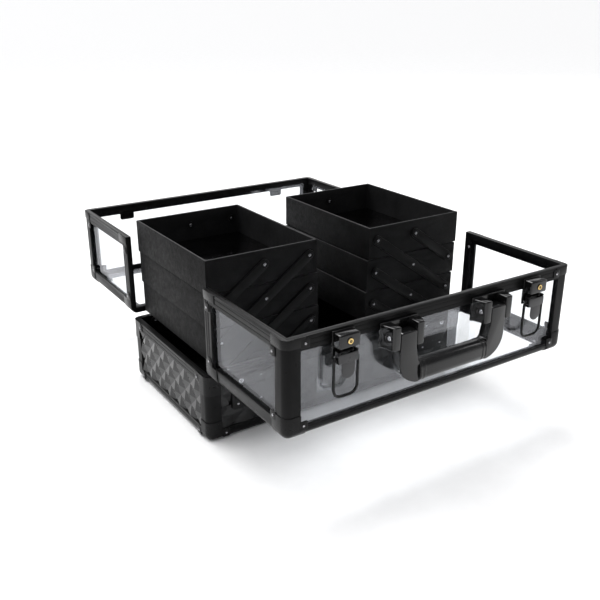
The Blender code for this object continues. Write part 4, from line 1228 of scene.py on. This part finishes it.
def dressed(name, material):
    """A CAD node, with a material of its own."""
    solid = frame["nodes"][name]
    solid.data.materials.clear()
    solid.data.materials.append(material)
    return solid


def dress_cad_nodes():
    dressed("base_tub", CLOTH)
    for face in ("front", "back", "left", "right"):
        panel = dressed(f"{face}_diamond_panel", PRESSED)
        ridges = panel.modifiers.new("ridges", "BEVEL")
        ridges.width = 0.7 * MM
        ridges.segments = 2
        ridges.limit_method = "ANGLE"
        ridges.angle_limit = math.radians(5)
    for prefix in ("front", "back"):
        for sheet in ("face", "top", "left_end", "right_end"):
            dressed(f"{prefix}_lid_{sheet}_panel", CLEAR_TOP if sheet == "top" else CLEAR)


# The surroundings.

FLOOR_HALF = 60.0
AIM = Vector((0, 0, 0.1))
# Each soft light's place, its width and height in metres, and its power in watts.
LIGHTS = {
    "overhead": ((0.0, 0.9, 2.0), (1.6, 0.8), 34),
    "left_side": ((-2.0, -0.9, 1.3), (0.35, 1.6), 6.5),
    "right_side": ((2.1, -0.7, 1.2), (0.3, 1.6), 6.5),
    "behind": ((1.9, 2.9, 1.35), (3.2, 1.3), 14),
}


def make_floor():
    bm = bmesh.new()
    corners = ((-1, -1), (1, -1), (1, 1), (-1, 1))
    bm.faces.new([bm.verts.new((x * FLOOR_HALF, y * FLOOR_HALF, BASE_LOW.z)) for x, y in corners])
    mesh = as_mesh("floor", bm)
    mesh.materials.append(PALE)
    in_scene("floor", mesh)


def turned_along(heading):
    """The turn that points a light or the camera along a heading."""
    return heading.to_track_quat("-Z", "Y").to_euler()


def make_light(name, spot, size, power):
    """A soft rectangular light that faces the case."""
    light = bpy.data.lights.new(name, "AREA")
    light.shape = "RECTANGLE"
    light.size, light.size_y = size
    light.energy = power
    lamp = in_scene(name, light)
    lamp.location = spot
    lamp.rotation_euler = turned_along(AIM - Vector(spot))
    lamp.visible_camera = False


def make_daylight():
    """An even, very soft light from above, which keeps the whole floor pale."""
    light = bpy.data.lights.new("daylight", "SUN")
    light.energy = 3.1
    light.angle = math.radians(70)
    in_scene("daylight", light).rotation_euler = turned_along(Vector((0.15, -0.35, -1)))


def make_world():
    """Dim all round, with a pale band at the horizon."""
    world = bpy.data.worlds.new("studio")
    bpy.context.scene.world = world
    world.use_nodes = True
    tree = world.node_tree
    parts = node(tree, "SeparateXYZ", Vector=node(tree, "TexCoord").outputs["Generated"])
    sky = colour_ramp(tree, parts.outputs["Z"], (0.05, (1, 1, 1)), (0.30, (0.24, 0.24, 0.25)))
    feed_all(tree, tree.nodes["Background"], Color=sky)


AZIMUTH = math.radians(33.2)
ELEVATION = math.radians(21.7)
DISTANCE = 1.036
LENS = 47.0


def make_camera():
    """The photograph's viewing angle: from the front, to its left and above."""
    data = bpy.data.cameras.new("camera")
    data.lens = LENS
    data.sensor_width = 36.0
    camera = in_scene("camera", data)
    flat = math.cos(ELEVATION)
    forward = Vector((math.sin(AZIMUTH) * flat, math.cos(AZIMUTH) * flat, -math.sin(ELEVATION)))
    camera.location = AIM - DISTANCE * forward
    camera.rotation_euler = turned_along(forward)
    bpy.context.scene.camera = camera


def main():
    make_base_frame()
    make_base_caps()
    make_rim_rivets()
    make_lid("front", "front_lid", FRONT)
    make_lid("back", "back_lid", BACK)
    for side_name, side in SIDES.items():
        for name, (level, places) in TRAYS.items():
            make_tray(side_name, side, name, level, places)
        for name, pivots in ARMS.items():
            make_arms(side_name, side, name, pivots)
        make_clasp(side_name, side)
        make_back_hinge(side_name)
        make_bracket(side_name, side)
        make_latch(side_name, side)
    make_handle()
    dress_cad_nodes()
    make_floor()
    make_daylight()
    make_world()
    for name, (spot, size, power) in LIGHTS.items():
        make_light(name, spot, size, power)
    bpy.context.scene.view_settings.view_transform = "Standard"
    make_camera()


main()
